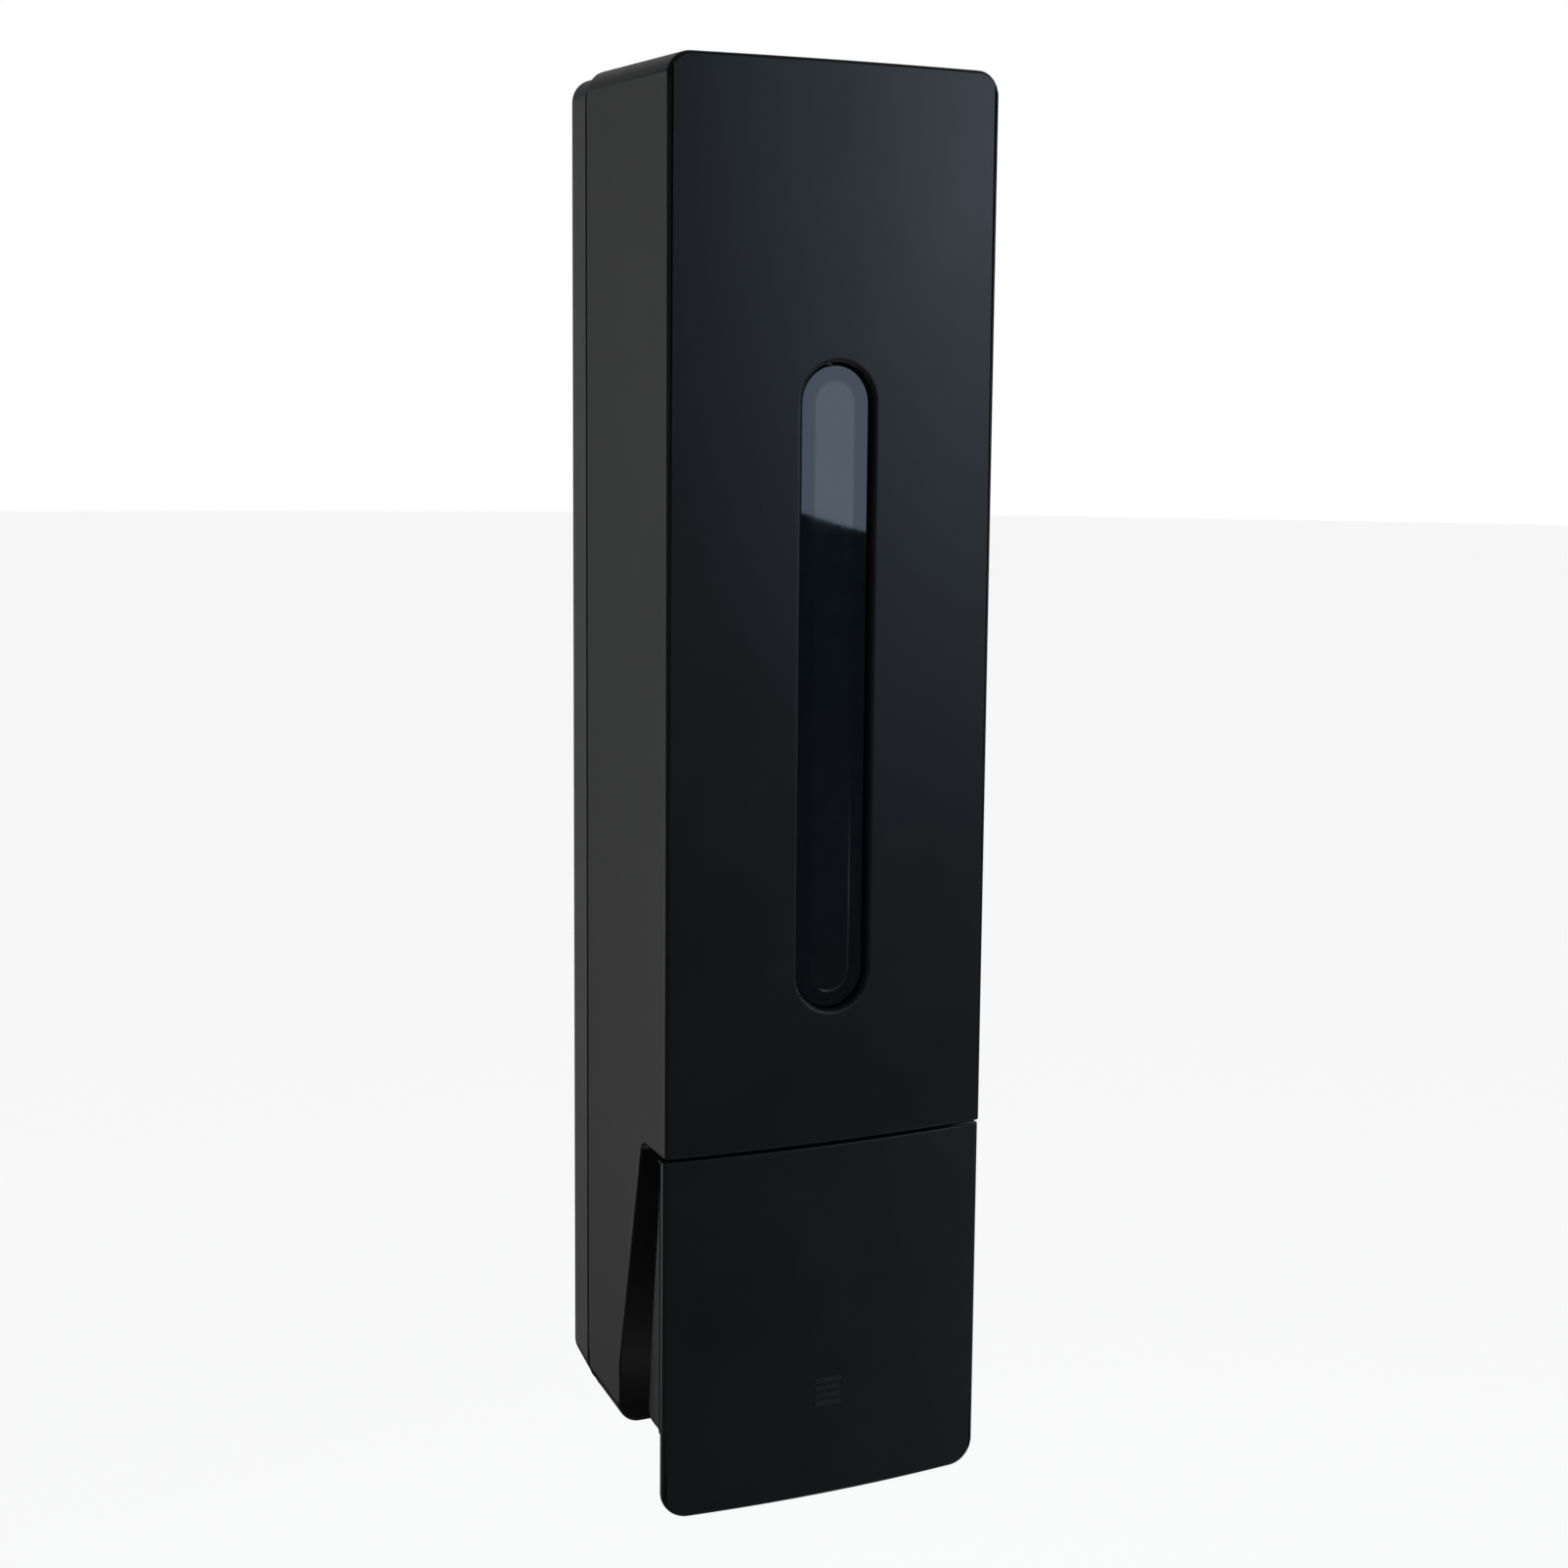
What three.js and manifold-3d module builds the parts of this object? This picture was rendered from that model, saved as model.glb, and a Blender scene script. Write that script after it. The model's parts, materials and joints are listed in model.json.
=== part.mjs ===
// A slim wall mounted soap dispenser with a push lever, in millimetres, +Z up.
// The wall is the plane y = 0, the front faces -Y, and the origin is the middle of the wall plate's back.
// Inside this file, heights (z) are measured from the lever's bottom edge; the last group moves them
// to the origin.
import * as THREE from 'three';
import { mergeVertices } from 'three/addons/utils/BufferGeometryUtils.js';
import Module from 'manifold-3d';

const wasm = await Module();
wasm.setup();

// ---------------------------------------------------------------- driving dimensions
const originHeight = 160; // of the wall plate's middle, above the lever's bottom edge

const height = 300; // lever's bottom edge to the cover's top
const halfWidth = 37.45;
const sideDepth = 49.7; // wall to the front face at its side edges
const coverCrown = 1.8; // how far the front face bulges at its middle
const cornerRadius = 5;
const edgeRadius = 1;
const wall = 2.2; // cover and lever wall thickness
const farAway = 90; // past the object on every side

const plate = { depth: 7.7, panel: 2.4, rim: 2, halfWidth: 37.3, top: 299, bottom: 19.05, slope: 0.378 };
const plateLip = { inset: 2.65, thickness: 1.2, front: 10.4, bottom: 28.4 };

const cover = { rear: 8.2, bottom: 17.6, slope: 0.2, reliefRear: 8.8, reliefTop: 23.75 };
const recess = {
  ceiling: 78.1,
  ceilingRise: 1.1, // from the front face back to the recess's top corner
  slope: 0.225, // of the recess's rear wall
  frontAtMiddle: 33.8,
  middle: 61.9,
  lowFront: 25.8,
};
const pumpSlot = { halfWidth: 13, rear: 12.2, top: 62 };
const stiffener = { x: 25.5, halfThickness: 0.8, rear: 46.6, bottom: 92, top: 292 };

const windowSlot = { halfWidth: 8.2, bottom: 106.5, top: 240.4 };
const lens = { gap: 0.3, front: 50, thickness: 2.2, border: 3.4, rise: 0.3 };
const lensFlange = { width: 3, thickness: 1.2 };

const hinge = { y: -11.2, z: 18.35, radius: 2.6, pin: 1.4, hole: 1.6 };
const hingeEnds = { earInner: 31.6, earOuter: 34.6, lugInner: 27.6 };
const hingeSlot = { inner: 31.3, outer: 35.3, front: 15.5, top: 22.35 };

const leverCrown = 2.36;
const leverSize = { halfWidth: 37.6, depth: 49.05, top: 77.3, corner: 5.7 };
const leverBox = { bottom: 17.7, rearTop: 48.1, rearBottom: 39.4 };
const leverShelf = { inner: 28.8, outer: 37.2, rear: 45.6, thickness: 1.3 };
const axle = { y: -44, z: 74, radius: 1.5, hole: 1.7, boss: 3.2, halfLength: 28.6 };
const axleLugs = { inner: 20.5, outer: 24.6 };
const leverEar = { inner: 25, outer: 28 };
const leverRib = { x: 12, halfThickness: 0.8, rear: 47 };
const gripRibs = { count: 4, bottom: 20.5, pitch: 1.7, halfWidth: 3.2, halfHeight: 0.3, rise: 0.25 };
const pushNose = { y: -48, radius: 2, halfLength: 8 };

const tank = { halfWidth: 32, rear: 6, front: 44.5, bottom: 62, top: 270, wall: 1.6, radius: 4 };
const tankSlope = [[-44.5, 91], [-36, 84.5], [-28.8, 62, 4]]; // over the recess, front to bottom
const neck = { y: -25, outer: 12, inner: 10.4, top: 276.5 };
const cap = { outer: 14, inner: 12.4, bottom: 272, ceiling: 278.1, top: 280.1, grips: 12 };

const pump = { y: -17.4, z: 40, bore: 6.5, outer: 8.5, rear: 11.2, chamberRear: 13.2, front: 28 };
const spigot = { outer: 7.6, inner: 4.6, bottom: 56.4 };
const pumpNeck = { outer: 5, inner: 3, top: 55, flange: 7.6, flangeBottom: 53, throat: 1.5 };
const collar = { outer: 9.6, inner: 8, lip: 5.4, bottom: 50.9, top: 60.8, grips: 12 };
const stem = { radius: 2.5, headRadius: 5.5, headFront: 45.65, headThickness: 2 };
const piston = { radius: 6.2, rear: 21.5, front: 26, groove: 4.4 };
const spring = { radius: 4, wire: 0.45, turns: 5, rear: 30.9, front: 43.1 };

const lock = { y: -18, core: 4, bore: 4.3, sleeve: 5.5, flange: 7.5, bottom: 289.5 };
const shelf = { inner: 14, outer: 30, depth: 24, top: 61.7, thickness: 2.2, gussetX: 22, gussetBottom: 47 };
const keyholes = { x: 22, z: 246, head: 4.6, shank: 2.3, rise: 8, lowerZ: 84, lowerHalf: 4.5 };
const backPockets = { halfWidth: 14, halfHeight: 22, depth: 0.8, heights: [108, 212] };
const backRibs = { x: 11, halfThickness: 0.8, depth: 4, bottom: 68, top: 268 };
const hook = { inner: 7.5, outer: 13.5, top: 291.4, bottom: 289.4, front: 23.5, lip: 2, lipBottom: 284.5 };

// ---------------------------------------------------------------- materials
function plastic(color, roughness = 0.55) {
  return new THREE.MeshStandardMaterial({ color, roughness, metalness: 0 });
}

function metal(color, roughness = 0.3) {
  return new THREE.MeshStandardMaterial({ color, roughness, metalness: 1 });
}

const blackShell = plastic(0x1c1e20, 0.5);
const blackPlate = plastic(0x202224, 0.6);
const smokedClear = plastic(0x11161b, 0.08);
const tankPlastic = plastic(0x3a4046, 0.35);
const pumpPlastic = plastic(0xd8dad8, 0.45);
const darkPlastic = plastic(0x2a2c2e, 0.5);
const softSeal = plastic(0x51565a, 0.8);
const steel = metal(0xb9bcc0);
const zinc = metal(0x8d9094, 0.35);

// ---------------------------------------------------------------- solids
// A closed geometry as a solid that can be joined and cut.
function solid(geometry) {
  const bare = geometry.clone();
  bare.deleteAttribute('normal');
  bare.deleteAttribute('uv');
  const merged = mergeVertices(bare, 1e-4);
  const corners = [];
  for (let i = 0; i < merged.index.count; i += 3) {
    const [a, b, c] = [0, 1, 2].map((k) => merged.index.getX(i + k));
    if (a !== b && b !== c && c !== a) corners.push(a, b, c);
  }
  const vertProperties = merged.attributes.position.array;
  const triVerts = new Uint32Array(corners);
  return new wasm.Manifold(new wasm.Mesh({ numProp: 3, vertProperties, triVerts }));
}

function join(...solids) {
  return solids.reduce((whole, piece) => whole.add(piece));
}

function common(...solids) {
  return solids.reduce((whole, piece) => whole.intersect(piece));
}

// A solid, or a geometry that needs no cutting, as a named mesh.
function part(name, shape, material) {
  let geometry = shape;
  if (!shape.isBufferGeometry) {
    const { vertProperties, triVerts } = shape.getMesh();
    geometry = new THREE.BufferGeometry();
    geometry.setAttribute('position', new THREE.BufferAttribute(vertProperties, 3));
    geometry.setIndex(new THREE.BufferAttribute(triVerts, 1));
    geometry.computeVertexNormals();
  }
  const mesh = new THREE.Mesh(geometry, material);
  mesh.name = name;
  return mesh;
}

// A closed outline through corners [u, v, radius], each rounded by its own radius.
function rounded(corners) {
  const shape = new THREE.Shape();
  corners.forEach(([u, v, radius = 0], i) => {
    const corner = new THREE.Vector2(u, v);
    const [before, after] = [-1, 1].map((step) => {
      const next = corners[(i + step + corners.length) % corners.length];
      return new THREE.Vector2(next[0], next[1]).sub(corner).normalize();
    });
    if (radius <= 0) {
      if (i === 0) shape.moveTo(u, v);
      else shape.lineTo(u, v);
      return;
    }
    const halfAngle = Math.acos(before.dot(after)) / 2;
    const cut = radius / Math.tan(halfAngle);
    const centre = before.clone().add(after).normalize();
    centre.multiplyScalar(radius / Math.sin(halfAngle)).add(corner);
    const start = before.multiplyScalar(cut).add(corner).sub(centre);
    const end = after.clone().multiplyScalar(cut).add(corner).sub(centre);
    const clockwise = start.cross(end) < 0;
    shape.absarc(centre.x, centre.y, radius, start.angle(), end.angle(), clockwise);
  });
  return shape;
}

function rectangle(u0, v0, u1, v1, radius = 0) {
  return rounded([[u0, v0, radius], [u1, v0, radius], [u1, v1, radius], [u0, v1, radius]]);
}

// Straight corner points moved inwards by a gap, with their radii made to match. The points run
// counterclockwise.
function inset(corners, gap) {
  return corners.map(([u, v, radius = 0], i) => {
    const corner = new THREE.Vector2(u, v);
    const before = corners[(i + corners.length - 1) % corners.length];
    const after = corners[(i + 1) % corners.length];
    const into = corner.clone().sub(new THREE.Vector2(before[0], before[1])).normalize();
    const out = new THREE.Vector2(after[0], after[1]).sub(corner).normalize();
    const bend = into.cross(out);
    const move = out.clone().sub(into).multiplyScalar(gap / bend);
    const tighter = bend > 0 ? radius - gap : radius + gap;
    return [u + move.x, v + move.y, radius > 0 ? Math.max(tighter, 0.3) : 0];
  });
}

const arcSteps = 4;
const capsuleSteps = 6;
const crownSteps = 8;

function extrude(shape, depth, curveSegments = arcSteps) {
  return new THREE.ExtrudeGeometry(shape, { depth, bevelEnabled: false, curveSegments });
}

// An outline in (y, z), pulled along X from x0 to x1.
function alongX(shape, x0, x1, curveSegments) {
  const turn = new THREE.Matrix4().makeBasis(
    new THREE.Vector3(0, 1, 0),
    new THREE.Vector3(0, 0, 1),
    new THREE.Vector3(1, 0, 0),
  );
  return solid(extrude(shape, x1 - x0, curveSegments).applyMatrix4(turn).translate(x0, 0, 0));
}

// An outline in (x, z), pulled forward from y = -rear to y = -front.
function alongY(shape, rear, front, curveSegments) {
  return solid(extrude(shape, front - rear, curveSegments).rotateX(Math.PI / 2).translate(0, -rear, 0));
}

// An outline in (x, y), pulled up from z0 to z1.
function alongZ(shape, z0, z1, curveSegments) {
  return solid(extrude(shape, z1 - z0, curveSegments).translate(0, 0, z0));
}

function box(x0, y0, z0, x1, y1, z1) {
  const geometry = new THREE.BoxGeometry(x1 - x0, y1 - y0, z1 - z0);
  return solid(geometry.translate((x0 + x1) / 2, (y0 + y1) / 2, (z0 + z1) / 2));
}

// Round bars along each axis, from one end to the other.
function barX(y, z, radius, x0, x1, sides = 16) {
  const bar = new THREE.CylinderGeometry(radius, radius, x1 - x0, sides).rotateZ(Math.PI / 2);
  return solid(bar.translate((x0 + x1) / 2, y, z));
}

function barY(x, z, radius, rear, front, sides = 24) {
  const bar = new THREE.CylinderGeometry(radius, radius, front - rear, sides);
  return solid(bar.translate(x, -(rear + front) / 2, z));
}

function barZ(x, y, radius, z0, z1, sides = 24) {
  const bar = new THREE.CylinderGeometry(radius, radius, z1 - z0, sides).rotateX(Math.PI / 2);
  return solid(bar.translate(x, y, (z0 + z1) / 2));
}

// A profile of [radius, height] turned round an upright axis, listed from the bottom outer edge up
// and back down the inside.
function turnedZ(profile, x, y, sides = 24) {
  const points = profile.map(([r, h]) => new THREE.Vector2(r, h));
  points.push(points[0].clone());
  return solid(new THREE.LatheGeometry(points, sides).rotateX(Math.PI / 2).translate(x, y, 0));
}

// The same profile turned round an axis along Y, with heights measured forward from the wall.
function turnedY(profile, x, z, sides = 24) {
  const points = profile.map(([r, h]) => new THREE.Vector2(r, h));
  points.push(points[0].clone());
  return solid(new THREE.LatheGeometry(points, sides).rotateX(Math.PI).translate(x, 0, z));
}

function ringZ(x, y, outer, inner, z0, z1) {
  return turnedZ([[outer, z0], [outer, z1], [inner, z1], [inner, z0]], x, y);
}

// ---------------------------------------------------------------- outer forms
// The front elevation, with all four corners rounded and the bottom edge sloping down towards the
// front. A gap makes it smaller all round.
function frontForm(half, bottom, top, slope, gap) {
  const radius = cornerRadius - gap;
  const upper = rectangle(-half + gap, -farAway, half - gap, top - gap, radius);
  const lower = rectangle(-half + gap, bottom + gap, half - gap, height + farAway, radius);
  const lean = new THREE.Matrix4().makeShear(0, 0, 0, slope, 0, 0);
  const leaning = extrude(lower, 2 * farAway).rotateX(Math.PI / 2).translate(0, farAway, 0);
  return common(alongY(upper, -farAway, farAway), solid(leaning.applyMatrix4(lean)));
}

// The plan view: straight sides and a front face that bulges by the crown.
function planShape(half, depth, crown, edge) {
  const radius = (half * half + crown * crown) / (2 * crown);
  const sweep = Math.asin((half - edge) / radius);
  const shape = new THREE.Shape();
  shape.moveTo(half, farAway);
  shape.lineTo(-half, farAway);
  shape.lineTo(-half, -depth + edge);
  const centreY = -depth - crown + radius;
  const frontY = centreY - radius * Math.cos(sweep);
  shape.quadraticCurveTo(-half, frontY, -half + edge, frontY);
  shape.absarc(0, centreY, radius, -Math.PI / 2 - sweep, -Math.PI / 2 + sweep, false);
  shape.quadraticCurveTo(half, frontY, half, -depth + edge);
  return shape;
}

// The cover's side view, rear edge first and counterclockwise, with the lever's recess at the lower
// front.
function coverSide(rear, reliefRear) {
  const recessAt = (z) => -recess.frontAtMiddle - recess.slope * (z - recess.middle);
  const cornerZ = recess.ceiling + recess.ceilingRise;
  const bendZ = recess.middle - (recess.lowFront - recess.frontAtMiddle) / -recess.slope;
  return [
    [-rear, height + farAway],
    [-farAway, height + farAway],
    [-farAway, recess.ceiling],
    [-sideDepth, recess.ceiling],
    [recessAt(cornerZ), cornerZ, 3],
    [-recess.lowFront, bendZ],
    [-recess.lowFront, -farAway],
    [-reliefRear, -farAway],
    [-reliefRear, cover.reliefTop],
    [-rear, cover.reliefTop],
  ];
}

// ---------------------------------------------------------------- cover
function coverShell() {
  const outerPlan = planShape(halfWidth, sideDepth, coverCrown, edgeRadius);
  const outer = common(
    frontForm(halfWidth, cover.bottom, height, cover.slope, 0),
    alongZ(outerPlan, -farAway, height + farAway, crownSteps),
    alongX(rounded(coverSide(cover.rear, cover.reliefRear)), -farAway, farAway),
  );
  const sideInside = inset(coverSide(-farAway, -farAway - 1), wall);
  const innerPlan = planShape(halfWidth - wall, sideDepth - wall, coverCrown, edgeRadius);
  const inner = common(
    frontForm(halfWidth, cover.bottom, height, cover.slope, wall),
    alongZ(innerPlan, -farAway, height + farAway, crownSteps),
    alongX(rounded(sideInside), -farAway, farAway),
  );
  return outer.subtract(inner);
}

function capsule(gap) {
  const { halfWidth: half, bottom, top } = windowSlot;
  return rectangle(-half + gap, bottom + gap, half - gap, top - gap, half - gap - 0.01);
}

// A round boss that grows out of the cover's foot, for a hinge pin.
function hingeLug(side) {
  const { y, z, radius } = hinge;
  const [x0, x1] = [hingeEnds.lugInner, hingeSlot.inner].map((x) => x * side).sort((a, b) => a - b);
  const foot = rectangle(y - radius, z - radius, y + radius, z);
  return join(barX(y, z, radius, x0, x1), alongX(foot, x0, x1));
}

// A round boss that hangs from the recess ceiling, for the lever's axle.
function axleLug(side) {
  const { y, z, boss } = axle;
  const [x0, x1] = [axleLugs.inner * side, axleLugs.outer * side].sort((a, b) => a - b);
  const block = rectangle(y - boss, z, y + boss, recess.ceiling + 2);
  return join(barX(y, z, boss, x0, x1), alongX(block, x0, x1));
}

// A slim upright rib behind the front face.
function stiffenerRib(side) {
  const { x, halfThickness, rear, bottom, top } = stiffener;
  const rib = box(x * side - halfThickness, -sideDepth, bottom, x * side + halfThickness, -rear, top);
  const insideFront = planShape(halfWidth - 1, sideDepth - 1, coverCrown, edgeRadius);
  return common(rib, alongZ(insideFront, bottom - 1, top + 1, crownSteps));
}

function makeCover() {
  let shell = coverShell();
  for (const side of [-1, 1]) {
    const [x0, x1] = [hingeSlot.inner * side, hingeSlot.outer * side].sort((a, b) => a - b);
    shell = shell.add(stiffenerRib(side));
    shell = shell.subtract(box(x0, -hingeSlot.front, 0, x1, 0, hingeSlot.top));
    shell = join(shell, hingeLug(side), axleLug(side));
  }
  const { halfWidth: slotHalf, rear: slotRear, top: slotTop } = pumpSlot;
  const centreSlot = box(-slotHalf, -sideDepth, 5, slotHalf, -slotRear, slotTop);
  const lockHole = barZ(0, lock.y, lock.sleeve + 0.3, 290, height + 1);
  const lockSink = barZ(0, lock.y, lock.flange + 0.3, height - 1, height + 1);
  return [
    alongY(capsule(0), 40, farAway, capsuleSteps),
    alongY(capsule(-0.7), sideDepth + coverCrown - 0.7, farAway, capsuleSteps),
    barX(hinge.y, hinge.z, hinge.hole, -farAway, farAway),
    barX(axle.y, axle.z, axle.hole, -axle.halfLength - 2, axle.halfLength + 2),
    centreSlot,
    lockHole,
    lockSink,
  ].reduce((piece, cutter) => piece.subtract(cutter), shell.subtract(hingeRelief()));
}

// The cover's lower rear corner is rounded so that it swings past the wall plate.
function hingeRelief() {
  const reach = -hinge.y - plate.depth - 0.5;
  const corner = rectangle(hinge.y, -5, 0, hinge.z, 0);
  const keep = barX(hinge.y, hinge.z, reach, -farAway, farAway, 48);
  return alongX(corner, -farAway, farAway).subtract(keep);
}

function makeLens() {
  const rear = lens.front - lens.thickness;
  const body = alongY(capsule(lens.gap), rear, lens.front - lens.rise, capsuleSteps);
  const middle = alongY(capsule(lens.gap + lens.border), rear, lens.front, capsuleSteps);
  const rim = alongY(capsule(-lensFlange.width), rear - lensFlange.thickness, rear - lens.gap, capsuleSteps);
  const bridge = alongY(capsule(lens.gap), rear - 1, rear + 1, capsuleSteps);
  return join(body, middle, rim, bridge);
}

// ---------------------------------------------------------------- wall plate
function plateTray() {
  const { depth, panel, rim, halfWidth: half, top, bottom, slope } = plate;
  const everywhere = rectangle(-farAway, -farAway, farAway, height + farAway);
  const outer = common(frontForm(half, bottom, top, slope, 0), alongY(everywhere, 0, depth));
  const hollow = common(frontForm(half, bottom, top, slope, rim), alongY(everywhere, panel, farAway));
  const { inset: lipInset, thickness, front, bottom: lipBottom } = plateLip;
  const lipBand = alongY(rectangle(-60, lipBottom, 60, 320), panel - 0.5, front);
  const lipOuter = frontForm(half, bottom, top, slope, lipInset - 0.7);
  const lipBase = common(lipOuter, alongY(rectangle(-60, lipBottom, 60, 320), panel - 0.5, depth));
  const lipTop = common(frontForm(half, bottom, top, slope, lipInset), lipBand);
  const lipHole = frontForm(half, bottom, top, slope, lipInset + thickness);
  return outer.subtract(hollow).add(join(lipBase, lipTop).subtract(lipHole));
}

function hingeEar(side) {
  const { y, z, radius } = hinge;
  const [x0, x1] = [hingeEnds.earInner * side, hingeEnds.earOuter * side].sort((a, b) => a - b);
  const root = [[-1, z + 1.4], [-1, z + 11], [-4, z + 11]];
  const arm = rounded([...root, [y, z + radius], [y, z - radius], [-7, z - 1.3]]);
  return join(alongX(arm, x0, x1), barX(y, z, radius, x0, x1));
}

// The hook that the lock's cam turns behind.
function lockHook() {
  const arm = box(hook.inner, -hook.front, hook.bottom, hook.outer, -1, hook.top);
  const lip = box(hook.inner, -hook.front, hook.lipBottom, hook.outer, -hook.front + hook.lip, hook.top);
  return join(arm, lip);
}

// Shelves under the tank, tabs over its top, and the cross that takes the pump's thrust.
function tankSupports(side) {
  const { inner, outer, depth, top, thickness, gussetX, gussetBottom } = shelf;
  const [x0, x1] = [inner * side, outer * side].sort((a, b) => a - b);
  const board = box(x0, -depth, top - thickness, x1, -1, top);
  const gusset = rounded([[-1, gussetBottom], [-1, top - 1], [-depth + 2, top - 1]]);
  const tab = box(x0 + 2, -depth / 2, tank.top + 0.3, x1 - 2, -1, tank.top + 0.3 + plate.rim);
  return join(board, alongX(gusset, gussetX * side - 1, gussetX * side + 1), tab);
}

function thrustCross() {
  const front = pump.rear - 0.3;
  const reach = pump.outer - 1.5;
  const upright = box(-1, -front, pump.z - reach, 1, -1, pump.z + reach);
  const level = box(-reach, -front, pump.z - 1, reach, -1, pump.z + 1);
  return join(upright, level);
}

// A hole for a screw head, with a slot above it for the screw's shank.
function keyhole(x) {
  const { z, head, shank, rise } = keyholes;
  const slot = rectangle(x - shank, z - shank, x + shank, z + rise, shank - 0.01);
  return join(barY(x, z, head, -1, 5), alongY(slot, -1, 5));
}

// A level slot for a lower screw, so that the plate can be set upright.
function lowerSlot(x) {
  const { lowerZ, lowerHalf, shank } = keyholes;
  const slot = rectangle(x - lowerHalf, lowerZ - shank, x + lowerHalf, lowerZ + shank, shank - 0.01);
  return alongY(slot, -1, 5);
}

function makeWallPlate() {
  let piece = join(plateTray(), lockHook(), thrustCross());
  for (const side of [-1, 1]) {
    const { x, halfThickness, depth, bottom, top } = backRibs;
    const rib = box(x * side - halfThickness, -depth, bottom, x * side + halfThickness, -1, top);
    piece = join(piece, hingeEar(side), tankSupports(side), rib);
    piece = piece.subtract(keyhole(keyholes.x * side));
    piece = piece.subtract(lowerSlot(keyholes.x * side));
  }
  for (const z of backPockets.heights) {
    const { halfWidth: half, halfHeight, depth } = backPockets;
    piece = piece.subtract(alongY(rectangle(-half, z - halfHeight, half, z + halfHeight, 3), -1, depth));
  }
  return piece.subtract(barX(hinge.y, hinge.z, hinge.hole, -farAway, farAway));
}

// ---------------------------------------------------------------- lever
function leverSide() {
  const { bottom, rearTop, rearBottom } = leverBox;
  const { top } = leverSize;
  return [[-farAway, bottom], [-rearBottom, bottom + 1.6, 2], [-rearTop, top], [-farAway, top]];
}

// A thin shelf at each end of the lever's top edge, so that no light shows through the gap above it.
function topShelf(side) {
  const { inner, outer, rear, thickness } = leverShelf;
  const [x0, x1] = [inner * side, outer * side].sort((a, b) => a - b);
  return box(x0, -leverSize.depth + 1, leverSize.top - thickness, x1, -rear, leverSize.top);
}

function makeLever() {
  const { halfWidth: half, depth, top, corner } = leverSize;
  const floor = leverBox.bottom + wall;
  const outline = rounded([[-half, 0, corner], [half, 0, corner], [half, top], [-half, top]]);
  const outerPlan = planShape(half, depth, leverCrown, edgeRadius);
  const innerPlan = planShape(half + 5, depth - wall, leverCrown, edgeRadius);
  const skin = common(alongY(outline, 0, farAway), alongZ(outerPlan, -5, 85, crownSteps));
  const facePlate = skin.subtract(alongZ(innerPlan, -10, 90, crownSteps));
  const boxOuter = common(skin, alongX(rounded(leverSide()), -farAway, farAway));
  const boxRear = [[-farAway, floor], [0, floor], [0, farAway], [-farAway, farAway]];
  const boxInner = common(
    alongZ(planShape(half - wall, depth - wall, leverCrown, edgeRadius), -10, 90, crownSteps),
    alongX(rounded(boxRear), -farAway, farAway),
  );
  let piece = join(facePlate, boxOuter.subtract(boxInner));
  const nose = barX(pushNose.y, pump.z, pushNose.radius, -pushNose.halfLength, pushNose.halfLength);
  const footSide = rectangle(-depth - 1.3, pump.z - 1.5, pushNose.y, pump.z + 1.5);
  const noseFoot = alongX(footSide, -pushNose.halfLength, pushNose.halfLength);
  piece = join(piece, nose, noseFoot);
  for (const side of [-1, 1]) {
    const { x, halfThickness, rear } = leverRib;
    const [x0, x1] = [x * side - halfThickness, x * side + halfThickness];
    const rib = box(x0, -farAway, floor - 1, x1, -rear, top - 1);
    piece = join(piece, leverEarOn(side), topShelf(side), common(rib, boxOuter));
  }
  for (let i = 0; i < gripRibs.count; i += 1) {
    piece = piece.add(gripRib(gripRibs.bottom + i * gripRibs.pitch));
  }
  return piece.subtract(barX(axle.y, axle.z, axle.hole, -farAway, farAway));
}

// An ear tapers from the face plate back to its boss, with a sloping heel under it.
function leverEarOn(side) {
  const [x0, x1] = [leverEar.inner * side, leverEar.outer * side].sort((a, b) => a - b);
  const { y, z, boss } = axle;
  const root = -leverSize.depth - 1;
  const arm = rounded([[root, z - 9], [-47, z - 9], [y, z - boss], [y, z + boss], [root, z + boss]]);
  const heel = rounded([[root, z - 14], [-46, z - 9], [root, z - 9]]);
  return join(barX(y, z, boss, x0, x1), alongX(arm, x0, x1), alongX(heel, x0, x1));
}

// One of the short raised ribs that mark where to push.
function gripRib(z) {
  const { halfWidth: half, halfHeight, rise } = gripRibs;
  const front = leverSize.depth + leverCrown;
  return alongY(rectangle(-half, z - halfHeight, half, z + halfHeight), front - 0.6, front + rise);
}

// ---------------------------------------------------------------- tank
function tankForm(gap) {
  const { halfWidth: half, rear, front, bottom, top, radius } = tank;
  const side = [...tankSlope, [-rear, bottom, 4], [-rear, top, 4], [-front, top, 4]];
  return common(
    alongX(rounded(inset(side, gap)), -half + gap, half - gap),
    alongZ(rectangle(-half + gap, -front + gap, half - gap, -rear - gap, radius - gap), -10, height),
    alongY(rectangle(-half + gap, bottom + gap, half - gap, top - gap, radius - gap), 0, farAway),
  );
}

function makeReservoir() {
  const outer = join(
    tankForm(0),
    barZ(0, neck.y, neck.outer, tank.top - 2, neck.top),
    barZ(0, pump.y, spigot.outer, spigot.bottom, tank.bottom + 2),
  );
  return outer
    .subtract(tankForm(tank.wall))
    .subtract(barZ(0, neck.y, neck.inner, tank.top - 4, neck.top + 1))
    .subtract(barZ(0, pump.y, spigot.inner, spigot.bottom - 1, tank.bottom + 4));
}

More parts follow.
